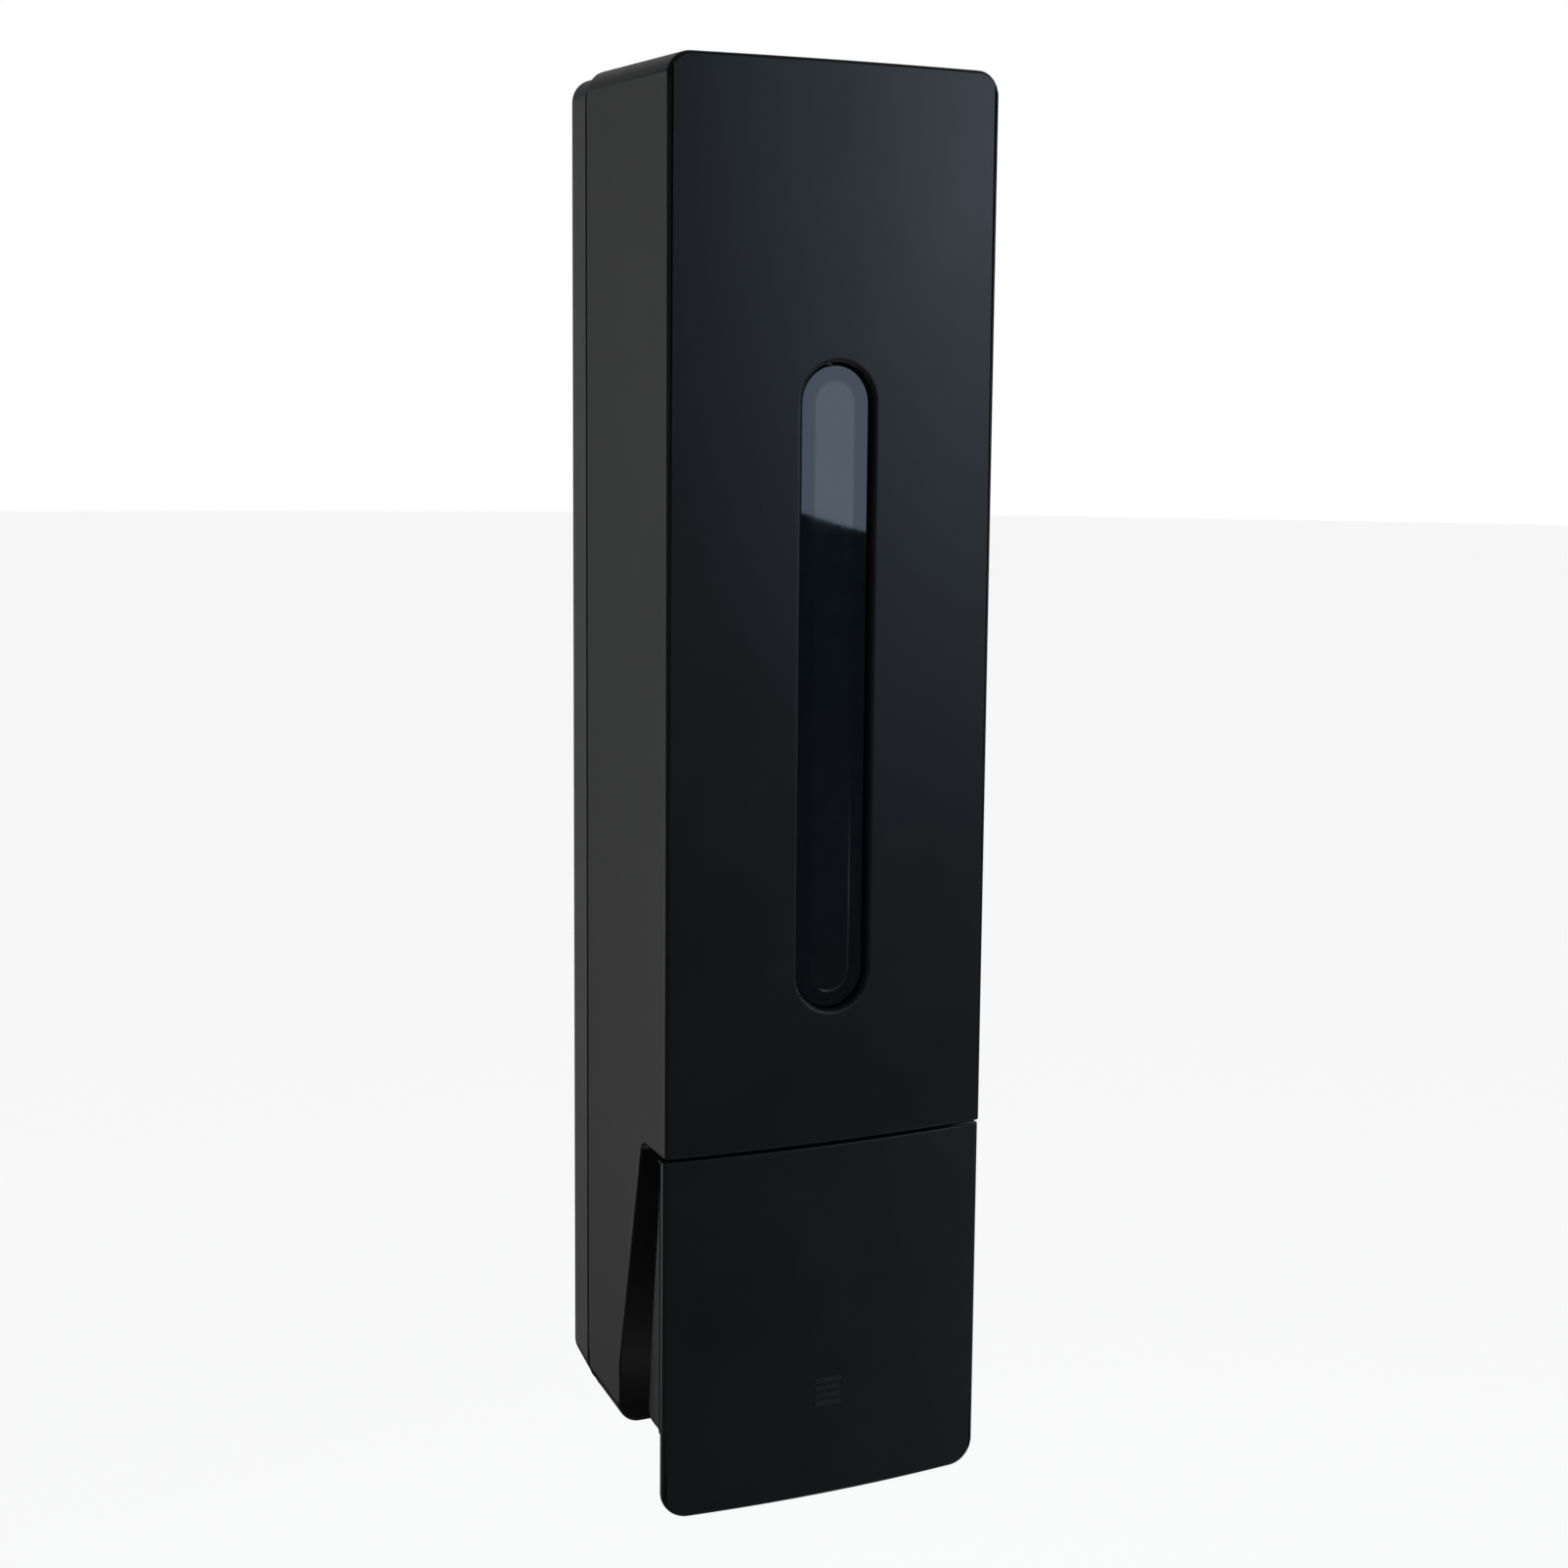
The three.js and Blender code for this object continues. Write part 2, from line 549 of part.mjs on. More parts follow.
function makeFillCap() {
  const { outer, inner, bottom, ceiling, top, grips } = cap;
  const wallProfile = [[inner, bottom], [outer, bottom], [outer, top]];
  let piece = turnedZ([...wallProfile, [0, top], [0, ceiling], [inner, ceiling]], 0, neck.y);
  for (let i = 0; i < grips; i += 1) {
    const angle = (2 * Math.PI * i) / grips;
    const [x, y] = [Math.cos(angle) * (outer + 0.5), neck.y + Math.sin(angle) * (outer + 0.5)];
    piece = piece.subtract(barZ(x, y, 1.3, bottom - 1, top - 1, 8));
  }
  const grip = box(-9, neck.y - 1.2, top - 0.5, 9, neck.y + 1.2, top + 1.4);
  return join(piece, grip).subtract(barZ(0, neck.y + 5, 0.8, ceiling - 1, top + 1, 8));
}

function makeFillCapSeal() {
  return ringZ(0, neck.y, neck.outer, neck.inner, neck.top + 0.3, cap.ceiling - 0.3);
}

// ---------------------------------------------------------------- pump
function makePumpBody() {
  const shell = join(
    barY(0, pump.z, pump.outer, pump.rear, pump.front),
    barZ(0, pump.y, pumpNeck.outer, pump.z, pumpNeck.top),
    barZ(0, pump.y, pumpNeck.flange, pumpNeck.flangeBottom, pumpNeck.top),
    barZ(0, pump.y, 4.6, 27, pump.z),
  );
  return shell
    .subtract(barY(0, pump.z, pump.bore, pump.chamberRear, farAway))
    .subtract(barZ(0, pump.y, pumpNeck.inner, pump.z + 8.5, pumpNeck.top + 1))
    .subtract(box(-pumpNeck.throat, pump.y - 2.6, pump.z, pumpNeck.throat, pump.y + 2.6, pump.z + 9))
    .subtract(barZ(0, pump.y, 2.2, 26, pump.z));
}

function makePumpFrontCap() {
  const profile = [[8.8, 24], [10, 24], [10, 30.5], [3.2, 30.5], [3.2, 28.3], [8.8, 28.3]];
  return turnedY(profile, 0, pump.z);
}

function makePumpCollar() {
  const { outer, inner, lip, bottom, top, grips } = collar;
  const ledge = pumpNeck.flangeBottom - 0.3;
  const outside = [[lip, bottom], [outer, bottom], [outer, top]];
  let piece = turnedZ([...outside, [inner, top], [inner, ledge], [lip, ledge]], 0, pump.y);
  for (let i = 0; i < grips; i += 1) {
    const angle = (2 * Math.PI * i) / grips;
    const [x, y] = [Math.cos(angle) * (outer + 0.4), pump.y + Math.sin(angle) * (outer + 0.4)];
    piece = piece.subtract(barZ(x, y, 0.8, bottom + 1, top + 1, 6));
  }
  return piece;
}

function makeNozzle() {
  const outside = [[2, 11], [3.4, 11], [3.6, 15], [6.2, 24], [6.2, 31]];
  const inside = [[4.9, 31], [4.9, 25.6], [3.4, 25.6], [3.4, 19], [2, 17]];
  return turnedZ([...outside, ...inside], 0, pump.y);
}

function makeOutletValve() {
  const outside = [[0.5, 20], [0.9, 20], [2.9, 22.5], [3.1, 25.9]];
  const rim = [[4.5, 25.9], [4.5, 26.7], [2.3, 26.7]];
  return turnedZ([...outside, ...rim, [2.2, 23]], 0, pump.y);
}

function makePlunger() {
  const { radius, headRadius, headFront, headThickness } = stem;
  const profile = [
    [0, piston.rear],
    [piston.radius, piston.rear],
    [piston.radius, piston.rear + 1.2],
    [piston.groove, piston.rear + 1.2],
    [piston.groove, piston.front - 1.2],
    [piston.radius, piston.front - 1.2],
    [piston.radius, piston.front],
    [radius, piston.front],
    [radius, headFront - headThickness],
    [headRadius, headFront - headThickness],
    [headRadius, headFront],
    [0, headFront],
  ];
  return turnedY(profile, 0, pump.z);
}

function makePistonSeal() {
  const [rear, front] = [piston.rear + 1.5, piston.front - 1.5];
  const profile = [[4.7, rear], [6.35, rear], [6, (rear + front) / 2], [6.35, front], [4.7, front]];
  return turnedY(profile, 0, pump.z);
}

// A coil along Y, round the plunger's stem.
class Helix extends THREE.Curve {
  getPoint(t, target = new THREE.Vector3()) {
    const angle = 2 * Math.PI * spring.turns * t;
    const y = THREE.MathUtils.lerp(-spring.rear - spring.wire, -spring.front + spring.wire, t);
    return target.set(spring.radius * Math.cos(angle), y, pump.z + spring.radius * Math.sin(angle));
  }
}

function makeSpring() {
  const section = new THREE.Shape().absarc(0, 0, spring.wire, 0, 2 * Math.PI, false);
  const options = { steps: spring.turns * 12, extrudePath: new Helix(), curveSegments: 3 };
  return solid(new THREE.ExtrudeGeometry(section, options));
}

// ---------------------------------------------------------------- lock
function makeLockHousing() {
  const { bore, sleeve, flange, bottom } = lock;
  const ledge = height - 0.7;
  const barrel = [[bore, bottom], [sleeve, bottom], [sleeve, ledge]];
  return turnedZ([...barrel, [flange, ledge], [flange, height], [bore, height]], 0, lock.y);
}

function makeLockNut() {
  const { sleeve } = lock;
  const hexagon = new THREE.CylinderGeometry(8, 8, 3, 6).rotateX(Math.PI / 2).rotateZ(Math.PI / 6);
  return solid(hexagon.translate(0, lock.y, 296)).subtract(barZ(0, lock.y, sleeve + 0.3, 290, 299));
}

function makeLockCore() {
  const shaft = join(barZ(0, lock.y, lock.core, 289, height - 0.2), barZ(0, lock.y, 2.2, 286, 290));
  const keySlot = box(-2.6, lock.y - 0.6, height - 5, 2.6, lock.y + 0.6, height + 1);
  return shaft.subtract(keySlot).subtract(barZ(0, lock.y, 1.3, 280, 293, 12));
}

function makeLockCam() {
  const tongue = rectangle(-2.5, lock.y - 3, 2.5, lock.y + 12, 2);
  const hub = barZ(0, lock.y, 4, 286.3, 288.6);
  return join(alongZ(tongue, 286.3, 288.6), hub).subtract(barZ(0, lock.y, 2.5, 280, 290));
}

function makeLockScrew() {
  const profile = [[0, 284.4], [3, 284.4], [3, 285.7], [1, 285.7], [1, 292], [0, 292]];
  return turnedZ(profile, 0, lock.y, 16);
}

// ---------------------------------------------------------------- assembly
const dispenser = new THREE.Group();
dispenser.position.z = -originHeight;

dispenser.add(
  part('wall_plate', makeWallPlate(), blackPlate),
  part('reservoir', makeReservoir(), tankPlastic),
  part('fill_cap', makeFillCap(), darkPlastic),
  part('fill_cap_seal', makeFillCapSeal(), softSeal),
  part('pump_body', makePumpBody(), pumpPlastic),
  part('pump_front_cap', makePumpFrontCap(), pumpPlastic),
  part('pump_collar', makePumpCollar(), darkPlastic),
  part('outlet_seal', ringZ(0, pump.y, 7.3, 3.4, pumpNeck.top + 0.3, spigot.bottom - 0.3), softSeal),
  part('inlet_valve_seat', ringZ(0, pump.y, 2.7, 1.5, 53.2, 54.8), darkPlastic),
  part('inlet_valve_ball', new THREE.SphereGeometry(1.9, 12, 8).translate(0, pump.y, 50.2), steel),
  part('outlet_valve', makeOutletValve(), softSeal),
  part('nozzle', makeNozzle(), darkPlastic),
  part('pump_spring', makeSpring(), steel),
  part('plunger', makePlunger(), pumpPlastic),
  part('piston_seal', makePistonSeal(), softSeal),
  part('cover', makeCover(), blackShell),
  part('window_lens', makeLens(), smokedClear),
  part('lever', makeLever(), blackShell),
  part('lever_axle', barX(axle.y, axle.z, axle.radius, -axle.halfLength, axle.halfLength), steel),
  part('lock_housing', makeLockHousing(), zinc),
  part('lock_nut', makeLockNut(), zinc),
  part('lock_core', makeLockCore(), zinc),
  part('lock_cam', makeLockCam(), steel),
  part('lock_screw', makeLockScrew(), steel),
);

for (const [name, side] of [['hinge_pin_left', -1], ['hinge_pin_right', 1]]) {
  const ends = [(hingeEnds.lugInner + 0.4) * side, (hingeEnds.earOuter - 0.2) * side];
  const [x0, x1] = ends.sort((a, b) => a - b);
  dispenser.add(part(name, barX(hinge.y, hinge.z, hinge.pin, x0, x1, 20), steel));
}

export default dispenser;
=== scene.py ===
"""Looks of the wall mounted soap dispenser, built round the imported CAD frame.

The frame is in metres, +Z up, and the front faces -Y. The cover, the lever, the wall plate and the window's insert
are drawn in millimetres above the lever's bottom edge and then set down in the frame. Every other piece is a
smoother copy of its CAD node.
"""
import json
import math

import bmesh
import bpy
import numpy as np
from mathutils import Matrix, Vector
from mathutils.bvhtree import BVHTree


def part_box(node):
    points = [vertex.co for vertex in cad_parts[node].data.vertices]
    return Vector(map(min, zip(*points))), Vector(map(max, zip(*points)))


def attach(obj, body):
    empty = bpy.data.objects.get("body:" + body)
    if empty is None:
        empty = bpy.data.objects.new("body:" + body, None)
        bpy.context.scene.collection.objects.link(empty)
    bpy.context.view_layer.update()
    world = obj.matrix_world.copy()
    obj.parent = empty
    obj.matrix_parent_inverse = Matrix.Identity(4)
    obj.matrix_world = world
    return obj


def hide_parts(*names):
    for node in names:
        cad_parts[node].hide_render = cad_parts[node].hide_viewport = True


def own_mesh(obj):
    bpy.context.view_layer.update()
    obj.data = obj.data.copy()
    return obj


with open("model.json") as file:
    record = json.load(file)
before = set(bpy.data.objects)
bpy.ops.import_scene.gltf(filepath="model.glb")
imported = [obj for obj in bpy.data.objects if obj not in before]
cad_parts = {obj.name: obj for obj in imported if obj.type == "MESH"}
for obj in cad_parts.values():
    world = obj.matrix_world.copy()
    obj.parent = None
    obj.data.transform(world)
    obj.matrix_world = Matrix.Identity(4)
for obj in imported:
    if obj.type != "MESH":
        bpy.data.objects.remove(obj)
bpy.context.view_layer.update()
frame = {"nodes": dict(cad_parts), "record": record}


# ------------------------------------------------------------------ materials
class Nodes:
    """A small helper that adds and links shader nodes."""

    def __init__(self, name):
        self.material = bpy.data.materials.new(name)
        self.material.use_nodes = True
        self.tree = self.material.node_tree
        self.shader = self.tree.nodes["Principled BSDF"]
        self.place = self.add("ShaderNodeTexCoord").outputs["Object"]

    def add(self, kind, **settings):
        node = self.tree.nodes.new(kind)
        for key, value in settings.items():
            setattr(node, key, value)
        return node

    def link(self, source, target):
        self.tree.links.new(source, target)

    def set(self, sockets):
        """Constant values for the shader's own sockets."""
        for key, value in sockets.items():
            self.shader.inputs[key.replace("_", " ")].default_value = value

    def noise(self, size, detail=2.0, roughness=0.5, stretch=(1, 1, 1)):
        """Noise whose blobs are about `size` metres across."""
        mapping = self.add("ShaderNodeMapping")
        mapping.inputs["Scale"].default_value = stretch
        self.link(self.place, mapping.inputs["Vector"])
        node = self.add("ShaderNodeTexNoise")
        node.inputs["Scale"].default_value = 1 / size
        node.inputs["Detail"].default_value = detail
        node.inputs["Roughness"].default_value = roughness
        self.link(mapping.outputs["Vector"], node.inputs["Vector"])
        return node.outputs["Fac"]

    def ranged(self, value, low, high, source=(0.3, 0.7)):
        """The value's source range stretched to run from low to high."""
        node = self.add("ShaderNodeMapRange")
        node.inputs["From Min"].default_value = source[0]
        node.inputs["From Max"].default_value = source[1]
        node.inputs["To Min"].default_value = low
        node.inputs["To Max"].default_value = high
        self.link(value, node.inputs["Value"])
        return node.outputs["Result"]

    def blend(self, value, first, second):
        node = self.add("ShaderNodeMix", data_type="RGBA")
        node.inputs["A"].default_value = (*first, 1)
        node.inputs["B"].default_value = (*second, 1)
        self.link(value, node.inputs["Factor"])
        return node.outputs["Result"]

    def bump(self, height, depth, before=None):
        node = self.add("ShaderNodeBump")
        node.inputs["Distance"].default_value = depth
        node.inputs["Strength"].default_value = 1.0
        self.link(height, node.inputs["Height"])
        if before is not None:
            self.link(before, node.inputs["Normal"])
        return node.outputs["Normal"]


PATCH_SIZE, WAVE_SIZE, GRAIN_SIZE = 0.03, 0.012, 0.0003
WAVE_DEPTH, GRAIN_DEPTH = 0.00002, 0.00001


def moulded(name, dark, light, roughness, **sockets):
    """Moulded plastic or rubber: blotchy colour, fine grain, and a gloss that varies a little."""
    n = Nodes(name)
    patches = n.noise(PATCH_SIZE, 4, 0.6)
    grains = n.noise(GRAIN_SIZE, 2, 0.6)
    waves = n.noise(WAVE_SIZE, 1, 0.5)
    n.link(n.blend(n.ranged(patches, 0, 1), dark, light), n.shader.inputs["Base Color"])
    n.link(n.ranged(patches, *roughness), n.shader.inputs["Roughness"])
    wavy = n.bump(waves, WAVE_DEPTH)
    n.link(n.bump(grains, GRAIN_DEPTH, before=wavy), n.shader.inputs["Normal"])
    n.set(sockets)
    return n.material


BRUSH_SIZE, BRUSH_STRETCH, BRUSH_DEPTH = 0.004, (1, 1, 40), 0.000006
STAIN_SIZE = 0.01


def machined(name, dark, light, roughness):
    """Drawn or plated metal with fine lines along one direction."""
    n = Nodes(name)
    lines = n.noise(BRUSH_SIZE, 3, 0.7, BRUSH_STRETCH)
    stains = n.noise(STAIN_SIZE, 3, 0.6)
    n.link(n.blend(n.ranged(stains, 0, 1), dark, light), n.shader.inputs["Base Color"])
    n.link(n.ranged(lines, *roughness), n.shader.inputs["Roughness"])
    n.link(n.bump(lines, BRUSH_DEPTH), n.shader.inputs["Normal"])
    n.set({"Metallic": 1})
    return n.material


HAZE_SIZE = 0.004
RIPPLE_SIZE, RIPPLE_DEPTH = 0.02, 0.0000004


def window_gloss(name, dark, light, roughness, border_shine, centre_shine):
    """Polished smoked plastic; the clear middle also shines from its rear face, so it is brighter."""
    n = Nodes(name)
    haze = n.noise(HAZE_SIZE, 3, 0.6)
    ripples = n.noise(RIPPLE_SIZE, 1, 0.5)
    centre = n.add("ShaderNodeAttribute", attribute_name="centre").outputs["Fac"]
    n.link(n.blend(n.ranged(haze, 0, 1), dark, light), n.shader.inputs["Base Color"])
    n.link(n.ranged(haze, *roughness), n.shader.inputs["Roughness"])
    n.link(n.ranged(centre, border_shine, centre_shine, (0, 1)), n.shader.inputs["Specular IOR Level"])
    n.link(n.bump(ripples, RIPPLE_DEPTH), n.shader.inputs["Normal"])
    return n.material


MATERIALS = {
    "shell_black": moulded(
        "shell_black", (0.0038, 0.004, 0.0043), (0.0046, 0.0048, 0.0052), (0.33, 0.39), Specular_IOR_Level=0.19),
    "lever_black": moulded(
        "lever_black", (0.0038, 0.0039, 0.004), (0.0046, 0.0047, 0.0048), (0.34, 0.4), Specular_IOR_Level=0.25),
    "plate_black": moulded(
        "plate_black", (0.006, 0.0062, 0.0065), (0.009, 0.0092, 0.0095), (0.4, 0.5), Specular_IOR_Level=0.4),
    "lens_smoke": window_gloss(
        "lens_smoke", (0.0016, 0.0024, 0.0034), (0.0024, 0.0034, 0.0046), (0.01, 0.03), 0.41, 0.58),
    "tank_smoke": moulded("tank_smoke", (0.10, 0.115, 0.13), (0.13, 0.145, 0.16), (0.3, 0.36)),
    "fitting_black": moulded("fitting_black", (0.012, 0.013, 0.014), (0.018, 0.019, 0.02), (0.4, 0.5)),
    "seal_silicone": moulded("seal_silicone", (0.10, 0.11, 0.12), (0.13, 0.14, 0.15), (0.6, 0.7)),
    "pump_white": moulded("pump_white", (0.70, 0.70, 0.68), (0.78, 0.78, 0.76), (0.38, 0.46)),
    "steel": machined("steel", (0.50, 0.51, 0.53), (0.62, 0.63, 0.65), (0.22, 0.36)),
    "lock_metal": machined("lock_metal", (0.42, 0.43, 0.45), (0.52, 0.53, 0.55), (0.25, 0.38)),
}


# ------------------------------------------------------------------ mesh helpers
def new_object(name, mesh):
    piece = bpy.data.objects.new(name, mesh)
    bpy.context.scene.collection.objects.link(piece)
    return piece


def apply_modifiers(piece):
    """The modifiers become part of the mesh."""
    depsgraph = bpy.context.evaluated_depsgraph_get()
    mesh = bpy.data.meshes.new_from_object(piece.evaluated_get(depsgraph))
    piece.modifiers.clear()
    old = piece.data
    piece.data = mesh
    bpy.data.meshes.remove(old)
    return piece


def bevel_edges(piece, width, segments, method):
    bevel = piece.modifiers.new("edges", "BEVEL")
    bevel.width = width
    bevel.segments = segments
    bevel.limit_method = method
    bevel.use_clamp_overlap = False
    return bevel


def even_shading(piece, weight):
    """Smooth shading in which the large faces decide."""
    piece.data.shade_smooth()
    weighted = piece.modifiers.new("shading", "WEIGHTED_NORMAL")
    weighted.weight = weight


SAME_POINT, NEARLY_FLAT = 1e-6, math.radians(0.3)
CLEAR_EDGE = math.radians(30)


def refined(node, width):
    """A smoother copy of a CAD node: flat faces joined up, and its edges rounded by the width, if there is one."""
    mesh = bmesh.new()
    mesh.from_mesh(frame["nodes"][node].data)
    bmesh.ops.remove_doubles(mesh, verts=mesh.verts, dist=SAME_POINT)
    bmesh.ops.dissolve_limit(mesh, angle_limit=NEARLY_FLAT, verts=mesh.verts, edges=mesh.edges)
    data = bpy.data.meshes.new(node + "_piece")
    mesh.to_mesh(data)
    mesh.free()
    piece = new_object(node + "_piece", data)
    if not width:
        return piece
    bevel_edges(piece, width, 2, "ANGLE").angle_limit = CLEAR_EDGE
    even_shading(piece, 80)
    return apply_modifiers(piece)


# ------------------------------------------------------------------ outlines
FAR = 90  # millimetres, further to the side or from the wall than any part of the object


def rounded(corners, steps=8):
    """A closed outline through corners (u, v, radius)."""
    points = []
    for i, corner in enumerate(corners):
        u, v, radius = (*corner, 0)[:3]
        here = Vector((u, v))
        if radius <= 0:
            points.append(here)
            continue
        before = (Vector(corners[i - 1][:2]) - here).normalized()
        after = (Vector(corners[(i + 1) % len(corners)][:2]) - here).normalized()
        half = before.angle(after) / 2
        centre = here + (before + after).normalized() * radius / math.sin(half)
        start = here + before * radius / math.tan(half) - centre
        end = here + after * radius / math.tan(half) - centre
        sweep = start.angle_signed(end)
        for k in range(steps + 1):
            turn = Matrix.Rotation(-sweep * k / steps, 2)
            points.append(centre + turn @ start)
    return points


def rectangle(u0, v0, u1, v1, radius=0, steps=8):
    return rounded([(u0, v0, radius), (u1, v0, radius), (u1, v1, radius), (u0, v1, radius)], steps)


def circle(u, v, radius, steps=48):
    turns = [2 * math.pi * k / steps for k in range(steps)]
    return [(u + radius * math.cos(turn), v + radius * math.sin(turn)) for turn in turns]


def inset(corners, gap):
    """A counterclockwise outline's corners moved inwards by a gap."""
    moved = []
    for i, corner in enumerate(corners):
        u, v, radius = (*corner, 0)[:3]
        here = Vector((u, v))
        into = (here - Vector(corners[i - 1][:2])).normalized()
        out = (Vector(corners[(i + 1) % len(corners)][:2]) - here).normalized()
        bend = into.cross(out)
        point = here + (out - into) * (gap / bend)
        tighter = radius - gap if bend > 0 else radius + gap
        moved.append((point.x, point.y, max(tighter, 0.3) if radius > 0 else 0))
    return moved


# ------------------------------------------------------------------ solids
def solid_from(mesh):
    bmesh.ops.recalc_face_normals(mesh, faces=mesh.faces)
    data = bpy.data.meshes.new("solid")
    mesh.to_mesh(data)
    mesh.free()
    return new_object("solid", data)


def prism(outline, place, low, high):
    """An outline pulled from low to high; `place` says where (u, v, w) lies in space."""
    mesh = bmesh.new()
    ends = [[mesh.verts.new(place(u, v, w)) for u, v in outline] for w in (low, high)]
    for ring in ends:
        mesh.faces.new(ring)
    count = len(outline)
    for i in range(count):
        j = (i + 1) % count
        mesh.faces.new((ends[0][i], ends[0][j], ends[1][j], ends[1][i]))
    return solid_from(mesh)


def along_x(outline, x0, x1):
    """An outline of (y, z) pulled sideways."""
    return prism(outline, lambda y, z, x: (x, y, z), x0, x1)


def along_y(outline, rear, front):
    """An outline of (x, z) pulled from one depth in front of the wall to another."""
    return prism(outline, lambda x, z, depth: (x, -depth, z), rear, front)


def along_z(outline, z0, z1):
    """An outline of (x, y) pulled upwards."""
    return prism(outline, lambda x, y, z: (x, y, z), z0, z1)


def box(x0, y0, z0, x1, y1, z1):
    return along_z([(x0, y0), (x1, y0), (x1, y1), (x0, y1)], z0, z1)


def add(solid):
    return "UNION", solid


def cut(solid):
    return "DIFFERENCE", solid


def combined(first, *steps):
    """The first solid with each (operation, solid) step carried out in turn."""
    for operation, other in steps:
        change = first.modifiers.new(operation, "BOOLEAN")
        change.operation = operation
        change.object = other
        change.solver = "EXACT"
    bpy.context.view_layer.update()
    apply_modifiers(first)
    for _, other in steps:
        data = other.data
        bpy.data.objects.remove(other)
        bpy.data.meshes.remove(data)
    return first


def common(first, *others):
    return combined(first, *(("INTERSECT", other) for other in others))


def across(side, near, far):
    """From near to far on one side of the middle (-1 is left), lower x first."""
    return sorted((near * side, far * side))


# ------------------------------------------------------------------ outer forms
HEIGHT = 300
HALF = 37.45
DEPTH = 49.7
CROWN = 1.8
EDGE_RADIUS = 1
CORNER = 5
WALL = 2.2
FOOT, FOOT_SLOPE = 17.6, 0.2

HINGE_Y, HINGE_Z, HINGE_EYE, HINGE_BORE = -11.2, 18.35, 2.6, 1.6
AXLE_Y, AXLE_Z, AXLE_EYE, AXLE_BORE = -44, 74, 3.2, 1.7


def crown_circle(half, crown):
    return (half * half + crown * crown) / (2 * crown)


def bulging_front(half, depth, crown, columns=15, turn=8):
    """Seen from above, left to right: a front that bulges by the crown, with rounded corners."""
    radius = crown_circle(half, crown)
    sweep = math.asin((half - EDGE_RADIUS) / radius)
    centre = radius - depth - crown
    corner = centre - radius * math.cos(sweep)
    bend = []
    for k in range(turn + 1):
        t = k / turn
        y = (1 - t) ** 2 * (EDGE_RADIUS - depth) + 2 * t * (1 - t) * corner + t * t * corner
        bend.append((half - EDGE_RADIUS * t * t, y))
    front = []
    for k in range(1, columns):
        angle = -sweep + 2 * sweep * k / columns
        front.append((radius * math.sin(angle), centre - radius * math.cos(angle)))
    return [(-x, y) for x, y in bend] + front + bend[::-1]


def plan(half, depth, crown):
    """Seen from above: straight sides and the bulging front."""
    return [(half, FAR), (-half, FAR)] + bulging_front(half, depth, crown)


def front_form(half, bottom, top, slope, gap):
    """Seen from the front: rounded corners, and a bottom edge that slopes down towards the front."""
    upper = along_y(rectangle(-half + gap, -FAR, half - gap, top - gap, CORNER - gap, 12), -FAR, FAR)
    lower = rectangle(-half + gap, bottom + gap, half - gap, HEIGHT + FAR, CORNER - gap, 12)
    leaning = prism(lower, lambda x, z, depth: (x, -depth, z - slope * depth), -FAR, FAR)
    return common(upper, leaning)


# ------------------------------------------------------------------ the cover
COVER_REAR = 8.2
RELIEF_REAR, RELIEF_TOP = 8.8, 23.75
RECESS_CEILING, CEILING_RISE = 78.1, 1.1
RECESS_MIDDLE, RECESS_DEPTH, RECESS_LOW_DEPTH, RECESS_LEAN = 61.9, 33.8, 25.8, 0.225
WINDOW_HALF, WINDOW_BOTTOM, WINDOW_TOP = 8.2, 106.5, 240.4
LOCK_Y, LOCK_BORE, LOCK_SEAT = -18, 5.8, 7.8


def cover_side(rear, relief_rear):
    """Seen from the side: the lever's recess is cut from the lower front, and the foot steps forward."""
    recess_top = RECESS_CEILING + CEILING_RISE
    bend = RECESS_MIDDLE - (RECESS_DEPTH - RECESS_LOW_DEPTH) / RECESS_LEAN
    top_corner = -RECESS_DEPTH - RECESS_LEAN * (recess_top - RECESS_MIDDLE)
    return [
        (-rear, HEIGHT + FAR), (-FAR, HEIGHT + FAR), (-FAR, RECESS_CEILING), (-DEPTH, RECESS_CEILING),
        (top_corner, recess_top, 3), (-RECESS_LOW_DEPTH, bend), (-RECESS_LOW_DEPTH, -FAR),
        (-relief_rear, -FAR), (-relief_rear, RELIEF_TOP), (-rear, RELIEF_TOP),
    ]


def cover_form(gap, rear, relief_rear):
    """The cover's outer form made smaller by the gap."""
    side = cover_side(rear, relief_rear)
    return common(
        front_form(HALF, FOOT, HEIGHT, FOOT_SLOPE, gap),
        along_z(plan(HALF - gap, DEPTH - gap, CROWN), -FAR, HEIGHT + FAR),
        along_x(rounded(inset(side, gap) if gap else side), -FAR, FAR),
    )


def capsule(gap, steps=48, parts=12):
    """The window's outline, made smaller by the gap: a half circle at each end and straight sides."""
    half = WINDOW_HALF - gap
    low, high = WINDOW_BOTTOM + WINDOW_HALF, WINDOW_TOP - WINDOW_HALF
    points = []
    for centre, start, run in ((low, math.pi, high - low), (high, 0, low - high)):
        for k in range(steps + 1):
            angle = start + math.pi * k / steps
            points.append((half * math.cos(angle), centre + half * math.sin(angle)))
        side = points[-1][0]
        points += [(side, centre + run * k / parts) for k in range(1, parts)]
    return points


